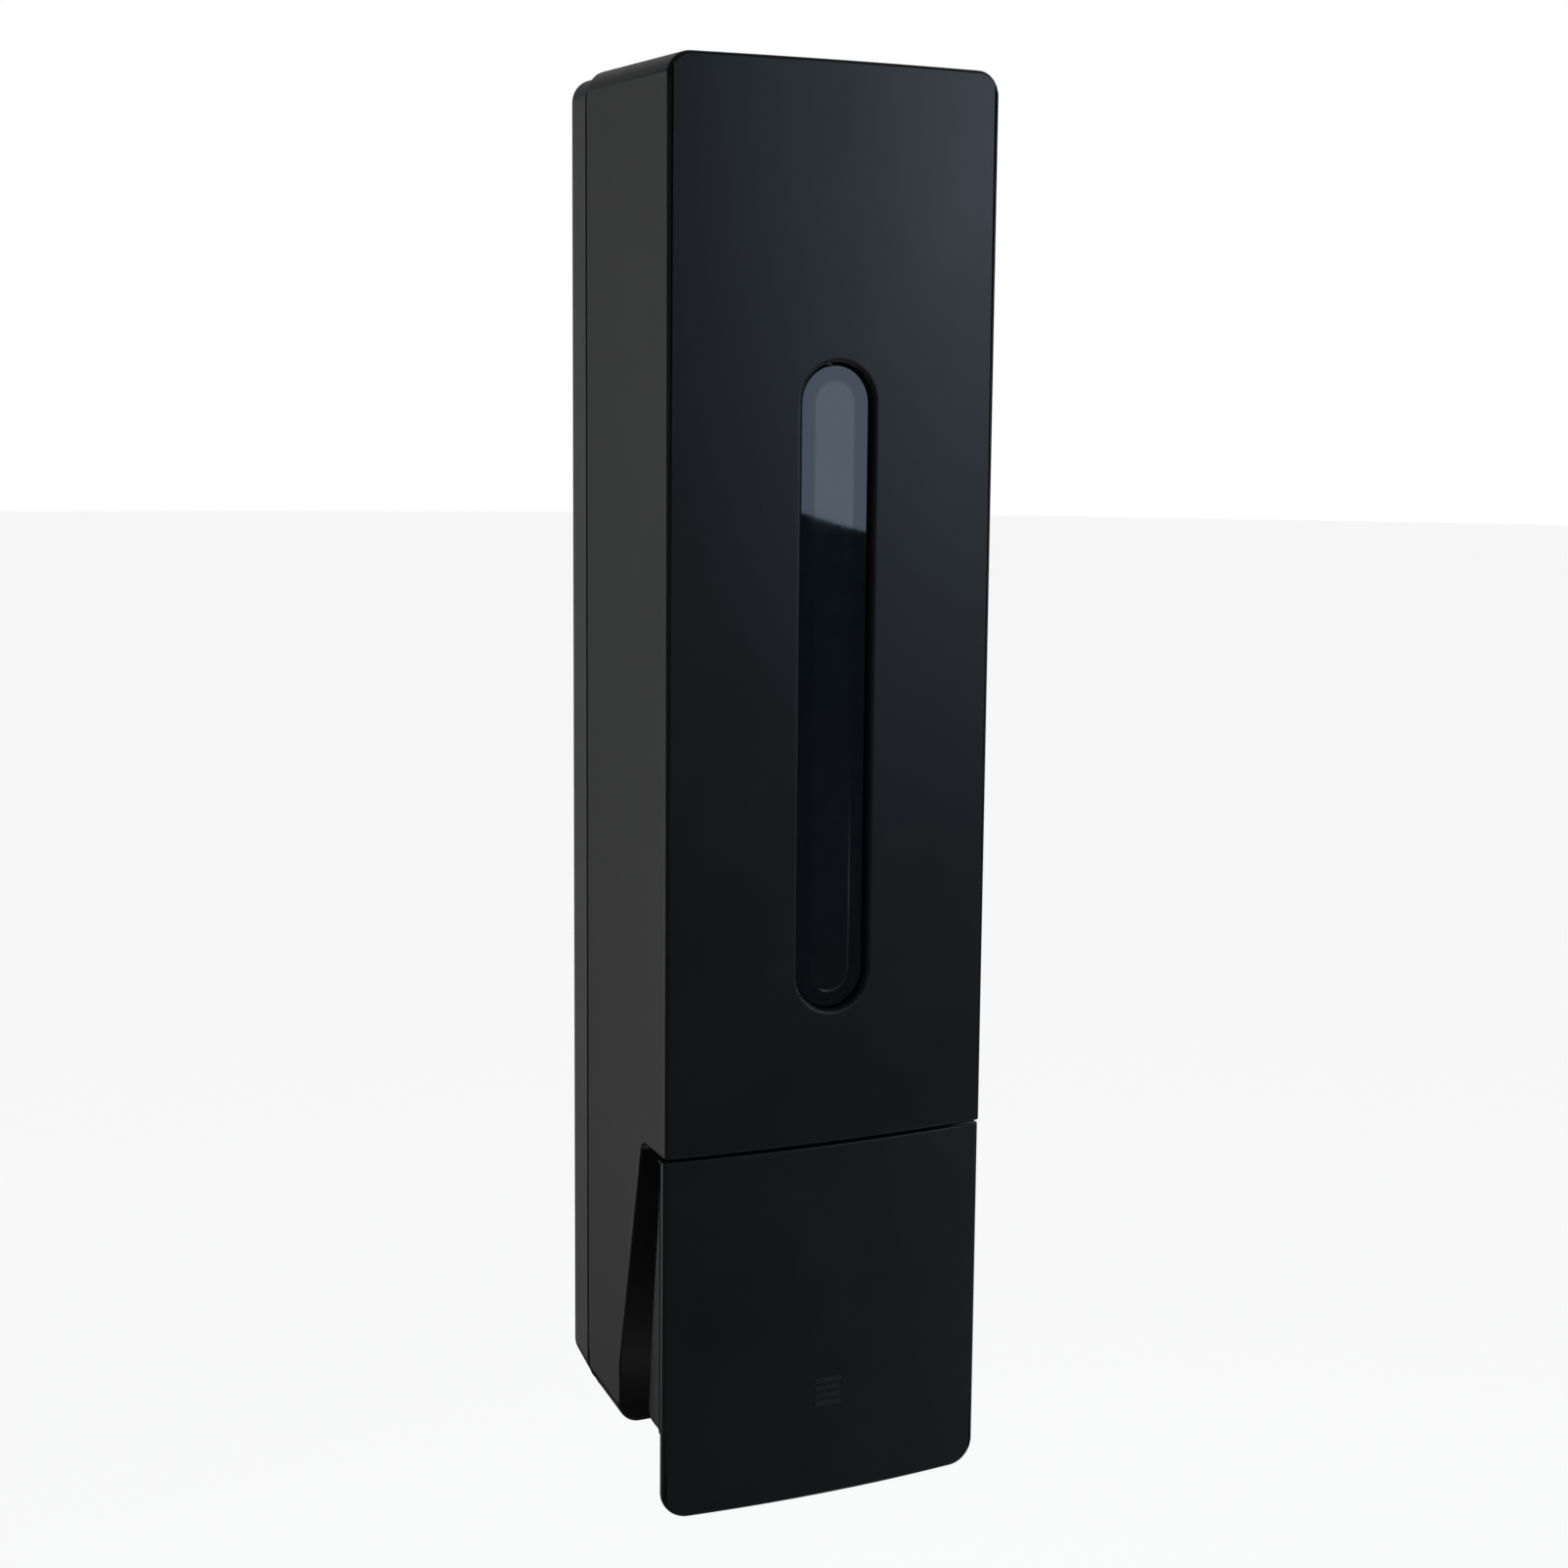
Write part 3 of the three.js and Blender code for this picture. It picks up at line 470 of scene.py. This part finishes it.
def cover_fittings(side):
    """On one side: a slot for the wall plate's ear, the hinge eye, the lever's hanger and a stiffening rib."""
    slot = across(side, 31.3, 35.3)
    eye = across(side, 27.6, 31.3)
    hanger = across(side, 20.5, 24.6)
    rib = across(side, 24.7, 26.3)
    eye_root = rectangle(-13.8, HINGE_Z - HINGE_EYE, -8.6, HINGE_Z)
    hanger_root = rectangle(-47.2, AXLE_Z, -40.8, RECESS_CEILING + 2)
    return [
        cut(box(slot[0], -15.5, 0, slot[1], 1, HINGE_Z + 4)),
        add(along_x(circle(HINGE_Y, HINGE_Z, HINGE_EYE), *eye)),
        add(along_x(eye_root, *eye)),
        add(along_x(circle(AXLE_Y, AXLE_Z, AXLE_EYE), *hanger)),
        add(along_x(hanger_root, *hanger)),
        add(box(rib[0], -49.2, 92, rib[1], -46.6, 292)),
    ]


def make_cover():
    """A thin shell with its fittings, and openings for the window, the hinge, the axle, the spout and the lock."""
    rear_corner = along_x(rectangle(HINGE_Y, -5, 0, HINGE_Z), -FAR, FAR)
    swing = along_x(circle(HINGE_Y, HINGE_Z, 3), -FAR - 1, FAR + 1)
    spout_way = box(-13, -DEPTH, 5, 13, -12.2, 62)
    return combined(
        cover_form(0, COVER_REAR, RELIEF_REAR),
        cut(cover_form(WALL, -FAR, -FAR - 1)),
        cut(combined(rear_corner, cut(swing))),
        *cover_fittings(-1),
        *cover_fittings(1),
        cut(along_y(capsule(0), 40, FAR)),
        cut(along_x(circle(HINGE_Y, HINGE_Z, HINGE_BORE), -FAR, FAR)),
        cut(along_x(circle(AXLE_Y, AXLE_Z, AXLE_BORE), -30.6, 30.6)),
        cut(spout_way),
        cut(along_z(circle(0, LOCK_Y, LOCK_BORE), HEIGHT - 10, HEIGHT + 1)),
        cut(along_z(circle(0, LOCK_Y, LOCK_SEAT), HEIGHT - 1, HEIGHT + 1)),
    )


# ------------------------------------------------------------------ the lever
LEVER_HALF, LEVER_DEPTH, LEVER_TOP, LEVER_CROWN = 37.6, 49.05, 77.3, 2.36
LEVER_FLOOR = 17.7
FLANGE_STEP, FLANGE_CURVE = 1.2, 0.014
PUSH_RIB_HALF, PUSH_RIB_BOTTOM, PUSH_RIB_PITCH = 3.2, 20.5, 1.7
NOSE_Y, NOSE_Z, NOSE_RADIUS, NOSE_HALF = -48, 40, 2, 8


def flange_plan(gap):
    """The lever's box from above: its side flanges curve inwards towards the rear."""
    right = []
    for k in range(1, 13):
        back = k * FLANGE_STEP
        right.append((LEVER_HALF - gap - FLANGE_CURVE * back * back, -LEVER_DEPTH + EDGE_RADIUS + gap + back))
    left = [(-x, y) for x, y in reversed(right)]
    return left + bulging_front(LEVER_HALF - gap, LEVER_DEPTH - gap, LEVER_CROWN) + right


def lever_skin():
    """The lever's full outer form: rounded lower corners and the bulging front."""
    corners = [(-LEVER_HALF, 0, 5.7), (LEVER_HALF, 0, 5.7), (LEVER_HALF, LEVER_TOP), (-LEVER_HALF, LEVER_TOP)]
    front = along_y(rounded(corners, 16), 0, FAR)
    return common(front, along_z(plan(LEVER_HALF, LEVER_DEPTH, LEVER_CROWN), -5, 85))


def lever_box():
    """The shallow box behind the plate, open at the rear and at the top."""
    side = [(-FAR, LEVER_FLOOR), (-39.4, LEVER_FLOOR + 1.6, 2.6), (-48.1, LEVER_TOP), (-FAR, LEVER_TOP)]
    case = common(lever_skin(), along_z(flange_plan(0), -10, 90), along_x(rounded(side, 10), -FAR, FAR))
    above_floor = along_x(rectangle(-FAR, LEVER_FLOOR + WALL, 0, FAR), -FAR, FAR)
    return combined(case, cut(common(along_z(flange_plan(WALL), -10, 90), above_floor)))


def lever_fittings(side):
    """On one side: the ear on the axle, the shelf under the seam and a stiffening rib."""
    ear = across(side, 25, 28)
    shelf = across(side, 28.8, 37.2)
    rib = across(side, 11.2, 12.8)
    arm = [(-50.05, 65), (-47, 65), (-44, 70.8), (-44, 77.2), (-50.05, 77.2)]
    gusset = [(-50.05, 60), (-46, 65.01), (-50.05, 65.01)]
    return [
        add(along_x(arm, *ear)),
        add(along_x(circle(AXLE_Y, AXLE_Z, AXLE_EYE), *ear)),
        add(along_x(gusset, *ear)),
        add(box(shelf[0], -48.05, 76, shelf[1], -45.6, LEVER_TOP)),
        add(box(rib[0], -49.3, LEVER_FLOOR + 1.2, rib[1], -47, 76.3)),
    ]


def push_ribs():
    """Four short plain ribs on the front that show where to push."""
    ribs = []
    for i in range(4):
        z = PUSH_RIB_BOTTOM + PUSH_RIB_PITCH * i
        outline = rectangle(-PUSH_RIB_HALF, z - 0.3, PUSH_RIB_HALF, z + 0.3, 0.29, 6)
        ribs.append(add(along_y(outline, 50.6, 51.66)))
    return ribs


def make_lever():
    """The front plate with its box, the nose that presses the plunger, the ears, and the bore for the axle."""
    behind = along_z(plan(LEVER_HALF + 5, LEVER_DEPTH - WALL, LEVER_CROWN), -10, 90)
    nose_root = rectangle(-50.35, NOSE_Z - 1.5, NOSE_Y, NOSE_Z + 1.5)
    return combined(
        combined(lever_skin(), cut(behind)),
        add(lever_box()),
        add(along_x(circle(NOSE_Y, NOSE_Z, NOSE_RADIUS, 32), -NOSE_HALF, NOSE_HALF)),
        add(along_x(nose_root, -NOSE_HALF, NOSE_HALF)),
        *lever_fittings(-1),
        *lever_fittings(1),
        *push_ribs(),
        cut(along_x(circle(AXLE_Y, AXLE_Z, AXLE_BORE), -FAR, FAR)),
    )


# ------------------------------------------------------------------ the window's insert
LENS_FRONT, LENS_RISE, LENS_BORDER, LENS_SLOPE = 50.0, 0.3, 3.4, 0.7
LENS_GAP, LENS_EDGE, LENS_FLANGE = 0.3, 0.4, 3
LENS_REAR, LENS_FLANGE_FRONT = 46.6, 47.5
LEAST_RISE, RISE_ENDS = 0.004, 0.62


def lens_profile():
    """(gap, depth, share of the centre's rise) of each ring, from the flange behind the cover inwards."""
    border = LENS_FRONT - LENS_RISE
    rings = [(-LENS_FLANGE, LENS_REAR, 0), (-LENS_FLANGE, LENS_FLANGE_FRONT, 0)]
    rings += [(LENS_GAP, LENS_FLANGE_FRONT, 0), (LENS_GAP, border - LENS_EDGE, 0)]
    for t in np.linspace(0, math.pi / 2, 7)[1:]:
        rings.append((LENS_GAP + LENS_EDGE * (1 - math.cos(t)), border - LENS_EDGE + LENS_EDGE * math.sin(t), 0))
    for t in np.linspace(0, 1, 9):
        rings.append((LENS_BORDER + LENS_SLOPE * t, border, 3 * t * t - 2 * t ** 3))
    return rings


def centre_rise(z):
    """The centre stands out most at its lower end and fades into the border towards the top."""
    up = (z - WINDOW_BOTTOM) / (WINDOW_TOP - WINDOW_BOTTOM)
    return LEAST_RISE + (LENS_RISE - LEAST_RISE) * max(0, 1 - up / RISE_ENDS) ** 1.5


def flat_front_normals(lens):
    """The front's flat faces are shaded as exactly flat, and the rest stays smooth."""
    lens.data.shade_smooth()
    normals = [Vector(normal.vector) for normal in lens.data.corner_normals]
    for face in lens.data.polygons:
        if face.normal.y < -0.9999:
            for loop in face.loop_indices:
                normals[loop] = Vector((0, -1, 0))
    lens.data.normals_split_custom_set(normals)


def make_lens():
    mesh = bmesh.new()
    loops, shares = [], []
    for gap, depth, share in lens_profile():
        loops.append([mesh.verts.new((x, -depth - share * centre_rise(z), z)) for x, z in capsule(gap)])
        shares += [share] * len(loops[-1])
    for inner, outer in zip(loops, loops[1:]):
        for i in range(len(inner)):
            j = (i + 1) % len(inner)
            mesh.faces.new((inner[i], inner[j], outer[j], outer[i]))
    mesh.faces.new(loops[0])
    mesh.faces.new(loops[-1])
    lens = solid_from(mesh)
    flat_front_normals(lens)
    centre = lens.data.attributes.new("centre", "FLOAT", "POINT")
    for value, share in zip(centre.data, shares):
        value.value = share
    return lens


# ------------------------------------------------------------------ the wall plate
PLATE_HALF, PLATE_TOP, PLATE_SLOPE = 37.3, 299, 0.378
PLATE_DEPTH, PANEL, RIM = 7.7, 2.4, 2
PLATE_FOOT, LIP_FOOT = 19.05, 28.4
LIP_DEPTH = 10.4
SCREW_X, SCREW_Z, SCREW_HEAD, SCREW_NECK = 22, 246, 4.6, 2.3


def plate_outline(gap):
    return front_form(PLATE_HALF, PLATE_FOOT, PLATE_TOP, PLATE_SLOPE, gap)


def plate_form(gap, rear, front, lowest=-20):
    """The wall plate's outline between two depths, from a lowest height up."""
    return common(plate_outline(gap), along_y(rectangle(-60, lowest, 60, 320), rear, front))


def plate_lip():
    """The low wall that runs inside the cover's rear edge."""
    root = PANEL - 0.5
    return combined(
        plate_form(1.95, root, PLATE_DEPTH, LIP_FOOT),
        add(plate_form(2.65, root, LIP_DEPTH, LIP_FOOT)),
        cut(plate_outline(3.85)),
    )


def plate_fittings(side):
    """On one side: the hinge ear, the tank's braced shelf and upper stop, a rib, a keyhole and a level slot."""
    ear = across(side, 31.6, 34.6)
    board = across(side, 14, 30)
    x = SCREW_X * side
    rib = across(side, 10.2, 11.8)
    arm = [
        (-1, HINGE_Z + 1.4), (-1, HINGE_Z + 11), (-4, HINGE_Z + 11), (HINGE_Y, HINGE_Z + HINGE_EYE),
        (HINGE_Y, HINGE_Z - HINGE_EYE), (-7, HINGE_Z - 1.3),
    ]
    key_slot = rectangle(x - SCREW_NECK, 243.7, x + SCREW_NECK, 254, SCREW_NECK - 0.01)
    level_slot = rectangle(x - 4.5, 81.7, x + 4.5, 86.3, SCREW_NECK - 0.01)
    return [
        add(along_x(arm, *ear)),
        add(along_x(circle(HINGE_Y, HINGE_Z, HINGE_EYE), *ear)),
        add(box(board[0], -24, 59.5, board[1], -1, 61.7)),
        add(along_x([(-1, 47), (-1, 60.7), (-22, 60.7)], x - 1, x + 1)),
        add(box(board[0] + 2, -12, 270.3, board[1] - 2, -1, 272.3)),
        add(box(rib[0], -4, 68, rib[1], -1, 268)),
        cut(along_y(circle(x, SCREW_Z, SCREW_HEAD), -1, 5)),
        cut(along_y(key_slot, -1, 5)),
        cut(along_y(level_slot, -1, 5)),
    ]


def make_plate():
    """A shallow tray with its lip and fittings, shallow pockets in its back and a bore for the hinge pins."""
    lock_hook = [add(box(7.5, -23.5, 289.4, 13.5, -1, 291.4)), add(box(7.5, -23.5, 284.5, 13.5, -21.5, 291.4))]
    pump_rest = [add(box(-1, -10.9, 33, 1, -1, 47)), add(box(-7, -10.9, 39, 7, -1, 41))]
    pockets = [cut(along_y(rectangle(-14, z - 22, 14, z + 22, 3), -1, 0.8)) for z in (108, 212)]
    return combined(
        combined(plate_form(0, 0, PLATE_DEPTH), cut(plate_form(RIM, PANEL, 60))),
        add(plate_lip()),
        *lock_hook,
        *pump_rest,
        *plate_fittings(-1),
        *plate_fittings(1),
        *pockets,
        cut(along_x(circle(HINGE_Y, HINGE_Z, HINGE_BORE), -FAR, FAR)),
    )


# ------------------------------------------------------------------ finishing
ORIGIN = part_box("lever")[0].z


def set_down(piece):
    """From millimetres above the lever's bottom edge to metres in the frame."""
    piece.data.transform(Matrix.Translation((0, 0, ORIGIN)) @ Matrix.Scale(0.001, 4))


SHARP = math.radians(28)
IN_LINE = math.radians(0.02)
SHORT_EDGE = 0.03
STRAY = 0.47  # a rounded edge's points lie nearer to the solid than this share of the widest rounding


def mark_edges(mesh, width_at, widest):
    """Each sharp edge gets its share of the widest rounding."""
    layer = mesh.edges.layers.float.new("bevel_weight_edge")
    for edge in mesh.edges:
        if len(edge.link_faces) == 2 and edge.calc_face_angle(0) > SHARP:
            edge[layer] = width_at((edge.verts[0].co + edge.verts[1].co) / 2) / widest


def bring_back(piece, surface, corners, furthest):
    """Puts points that strayed from the unrounded solid back on it, and keeps all points in its box."""
    for vertex in piece.data.vertices:
        spot, _, _, distance = surface.find_nearest(vertex.co)
        if distance > furthest:
            vertex.co = spot
        for axis in range(3):
            vertex.co[axis] = min(max(vertex.co[axis], corners[0][axis]), corners[6][axis])


def round_edges(piece, width_at, widest):
    """Rounds each sharp edge by the width, in millimetres, that `width_at` gives for its middle."""
    mesh = bmesh.new()
    mesh.from_mesh(piece.data)
    bmesh.ops.dissolve_limit(mesh, angle_limit=IN_LINE, verts=mesh.verts, edges=mesh.edges)
    bmesh.ops.remove_doubles(mesh, verts=mesh.verts, dist=SHORT_EDGE)
    mark_edges(mesh, width_at, widest)
    surface = BVHTree.FromBMesh(mesh)
    mesh.to_mesh(piece.data)
    mesh.free()
    corners = [Vector(corner) for corner in piece.bound_box]
    bevel_edges(piece, widest, 4, "WEIGHT")
    apply_modifiers(piece)
    bring_back(piece, surface, corners, STRAY * widest)
    even_shading(piece, 90)
    return apply_modifiers(piece)


# what counts as the bulging front: how near its curve, how far from its sides, and how well the normals agree
CURVE_REACH, CURVE_MARGIN, LEAST_MATCH = 0.02, 0.9, 0.93


def crown_shading(piece, half, depth, crown):
    """Gives the bulging front face the exact normals of its curve."""
    radius = crown_circle(half, crown)
    centre = radius - depth - crown
    data = piece.data
    normals = [Vector(n.vector) for n in data.corner_normals]
    for loop in data.loops:
        x, y, _ = data.vertices[loop.vertex_index].co
        exact = Vector((x, y - centre, 0))
        if abs(exact.length - radius) < CURVE_REACH and abs(x) < half - CURVE_MARGIN and y < 0:
            exact.normalize()
            if exact.dot(normals[loop.index]) > LEAST_MATCH:
                normals[loop.index] = exact
    data.normals_split_custom_set(normals)


# the widths of the rounded edges, in millimetres
WINDOW_EDGE, COVER_EDGE, INNER_EDGE, SEAM_EDGE = 1.1, 0.8, 0.4, 0.3
FLOOR_FRONT_EDGE, FLOOR_EDGE, LEVER_EDGE, PUSH_RIB_EDGE = 1.2, 0.5, 0.6, 0.2
PLATE_EDGE = 0.35


def cover_edges(middle):
    """Soft round the window, crisp at the seam above the lever, and fine inside."""
    x, y, z = middle
    if abs(x) < WINDOW_HALF + 0.8 and WINDOW_BOTTOM - 1.5 < z < WINDOW_TOP + 1.6:
        return WINDOW_EDGE if y < -51 else INNER_EDGE
    if 70 < z < 90 and y < -30:
        return SEAM_EDGE
    return COVER_EDGE if y < -9 or z > 290 else INNER_EDGE


def lever_edges(middle):
    """Fine on the push ribs and at the seam, soft where the box's floor meets the front, even elsewhere."""
    x, y, z = middle
    if abs(x) < 4 and 19 < z < 27 and y < -51:
        return PUSH_RIB_EDGE
    if abs(z - LEVER_FLOOR) < 0.6:
        return FLOOR_EDGE if -47.5 < y else FLOOR_FRONT_EDGE
    return SEAM_EDGE if z > 76.9 else LEVER_EDGE


def plate_edges(middle):
    return PLATE_EDGE


SLOT_OF = {entry["node"]: entry["material_slot"] for entry in frame["record"]["subparts"]}
BODY_OF = {node: body for body, nodes in frame["record"]["behaviour"]["bodies"].items() for node in nodes}


def place(piece, node):
    """The piece stands for the CAD node: same slot, same body."""
    piece.data.materials.clear()
    piece.data.materials.append(MATERIALS[SLOT_OF[node]])
    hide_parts(node)
    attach(piece, BODY_OF[node])
    if node == "pump_spring":
        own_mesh(piece)


# how far the edges of the copied nodes are rounded, in metres; the nodes not named here are round already
EDGE = {
    "reservoir": 0.0004, "fill_cap": 0.0003, "pump_body": 0.0003, "pump_front_cap": 0.0003,
    "pump_collar": 0.0002, "nozzle": 0.0002, "plunger": 0.0002, "lever_axle": 0.0003,
    "lock_housing": 0.0002, "lock_nut": 0.0003, "lock_core": 0.0002, "lock_cam": 0.0002, "lock_screw": 0.0002,
    "hinge_pin_left": 0.0002, "hinge_pin_right": 0.0002,
}

# how each drawn piece is made, where its edges are rounded, the widest rounding, and its bulging front
DRAWN = {
    "cover": (make_cover, cover_edges, WINDOW_EDGE, (HALF, DEPTH, CROWN)),
    "lever": (make_lever, lever_edges, FLOOR_FRONT_EDGE, (LEVER_HALF, LEVER_DEPTH, LEVER_CROWN)),
    "wall_plate": (make_plate, plate_edges, PLATE_EDGE, None),
}


def make_pieces():
    for node, (make, edges, widest, crown) in DRAWN.items():
        piece = round_edges(make(), edges, widest)
        if crown:
            crown_shading(piece, *crown)
        set_down(piece)
        piece.name = node + "_piece"
        place(piece, node)
    lens = make_lens()
    set_down(lens)
    lens.name = "window_lens_piece"
    place(lens, "window_lens")
    for node in SLOT_OF:
        if node not in DRAWN and node != "window_lens":
            place(refined(node, EDGE.get(node, 0)), node)


# ------------------------------------------------------------------ camera, floor and light
CAMERA_PLACE = (-0.25504, -0.53613, 0.07457)
CAMERA_YAW, CAMERA_PITCH, CAMERA_ROLL = 0.4652, -0.1457, 0.009
CAMERA_LENS, CAMERA_SENSOR = 61.44, 36


def add_camera():
    data = bpy.data.cameras.new("camera")
    data.sensor_width = CAMERA_SENSOR
    data.lens = CAMERA_LENS
    flat = math.cos(CAMERA_PITCH)
    forward = Vector((math.sin(CAMERA_YAW) * flat, math.cos(CAMERA_YAW) * flat, math.sin(CAMERA_PITCH)))
    level = Vector((math.cos(CAMERA_YAW), -math.sin(CAMERA_YAW), 0))
    rise = level.cross(forward)
    right = level * math.cos(CAMERA_ROLL) + rise * math.sin(CAMERA_ROLL)
    up = rise * math.cos(CAMERA_ROLL) - level * math.sin(CAMERA_ROLL)
    turn = Matrix((right, up, -forward)).transposed().to_4x4()
    camera = new_object("camera", data)
    camera.matrix_world = Matrix.Translation(CAMERA_PLACE) @ turn
    bpy.context.scene.camera = camera


FRONT_TARGET = (0, -0.05, 0.047)
PANELS = (
    # name, shape, centre, target, width and height, radiance, colour
    ("panel_front_right", "ELLIPSE", (1.002, -1.261, 0.344), FRONT_TARGET, (1.56, 0.857), 2.8, (0.62, 0.79, 1.0)),
    ("panel_core", "ELLIPSE", (1.063, -1.131, 0.369), FRONT_TARGET, (0.5, 0.4), 6, (0.72, 0.82, 1.0)),
    ("panel_back_left", "RECTANGLE", (-1.13, 1.1, -0.17), (-0.03, 0, -0.05), (0.95, 1.2), 1.54, (1.0, 0.99, 0.98)),
)


def add_panel(name, shape, centre, target, spread, radiance, colour):
    """A soft light that faces the target."""
    area = spread[0] * spread[1] * (math.pi / 4 if shape == "ELLIPSE" else 1)
    data = bpy.data.lights.new(name, "AREA")
    data.shape = shape
    data.size, data.size_y = spread
    data.energy = radiance * math.pi * area
    data.color = colour
    lamp = new_object(name, data)
    aim = (Vector(target) - Vector(centre)).to_track_quat("-Z", "Y")
    lamp.matrix_world = Matrix.Translation(centre) @ aim.to_matrix().to_4x4()
    lamp.visible_camera = False


BACKDROP = (1.0, 1.0, 1.0)
ROOM_LIGHT = (0.6, 0.6, 0.6)
ROOM_GLOSS, GROUND_GLOSS = (0.045, 0.062, 0.075), (0.06, 0.06, 0.062)
GROUND_TOP, ROOM_BOTTOM = -0.25, -0.1
# pale surfaces of the room as the gloss shows them: the direction, where they fade in and are full, the colour
REFLECTED = (
    ((0.154, 0.921, 0.358), 0.79, 0.92, (0.35, 0.35, 0.36)),
    ((0.95, 0.25, -0.18), 0.55, 0.8, (0.42, 0.43, 0.45)),
    ((0.35, 0.35, 0.87), 0.78, 0.92, (0.6, 0.6, 0.62)),
    ((0.5, -0.1, -0.86), 0.8, 0.9, (0.8, 0.8, 0.8)),
)


def add_world():
    """White behind the object; in its gloss a dim, slightly blue room with a few pale surfaces."""
    world = bpy.data.worlds.new("studio")
    bpy.context.scene.world = world
    world.use_nodes = True
    tree = world.node_tree
    coordinate = tree.nodes.new("ShaderNodeTexCoord").outputs["Generated"]

    def mix(factor, first, second):
        node = tree.nodes.new("ShaderNodeMix")
        node.data_type = "RGBA"
        tree.links.new(factor, node.inputs["Factor"])
        for slot, value in (("A", first), ("B", second)):
            if isinstance(value, tuple):
                node.inputs[slot].default_value = (*value, 1)
            else:
                tree.links.new(value, node.inputs[slot])
        return node.outputs["Result"]

    def fade(value, start, full):
        """0 up to the start, and 1 from full on."""
        node = tree.nodes.new("ShaderNodeMapRange")
        node.inputs["From Min"].default_value = start
        node.inputs["From Max"].default_value = full
        tree.links.new(value, node.inputs["Value"])
        return node.outputs["Result"]

    def towards(centre):
        """How close each direction is to the centre."""
        node = tree.nodes.new("ShaderNodeVectorMath")
        node.operation = "DOT_PRODUCT"
        node.inputs[1].default_value = centre
        tree.links.new(coordinate, node.inputs[0])
        return node.outputs["Value"]

    direction = tree.nodes.new("ShaderNodeSeparateXYZ")
    tree.links.new(coordinate, direction.inputs["Vector"])
    room = mix(fade(direction.outputs["Z"], GROUND_TOP, ROOM_BOTTOM), GROUND_GLOSS, ROOM_GLOSS)
    for centre, edge, full, colour in REFLECTED:
        room = mix(fade(towards(centre), edge, full), room, colour)
    path = tree.nodes.new("ShaderNodeLightPath")
    lit = mix(path.outputs["Is Glossy Ray"], ROOM_LIGHT, room)
    seen = mix(path.outputs["Is Camera Ray"], lit, BACKDROP)
    tree.links.new(seen, tree.nodes["Background"].inputs["Color"])


FLOOR_RADIUS, FLOOR_Z = 30, -1.3


def add_floor():
    """A wide pale disc far below the object, left out of its reflections."""
    mesh = bmesh.new()
    bmesh.ops.create_circle(mesh, cap_ends=True, segments=96, radius=FLOOR_RADIUS)
    data = bpy.data.meshes.new("floor")
    mesh.to_mesh(data)
    mesh.free()
    floor = new_object("floor", data)
    floor.location = (0, 0, FLOOR_Z)
    material = bpy.data.materials.new("floor_pale")
    material.use_nodes = True
    shader = material.node_tree.nodes["Principled BSDF"]
    shader.inputs["Base Color"].default_value = (0.9, 0.9, 0.9, 1)
    shader.inputs["Roughness"].default_value = 0.8
    shader.inputs["Emission Color"].default_value = (1, 1, 1, 1)
    shader.inputs["Emission Strength"].default_value = 0.4
    data.materials.append(material)
    floor.visible_glossy = False


make_pieces()
add_camera()
add_world()
add_floor()
for panel in PANELS:
    add_panel(*panel)
bpy.context.scene.view_settings.view_transform = "Standard"
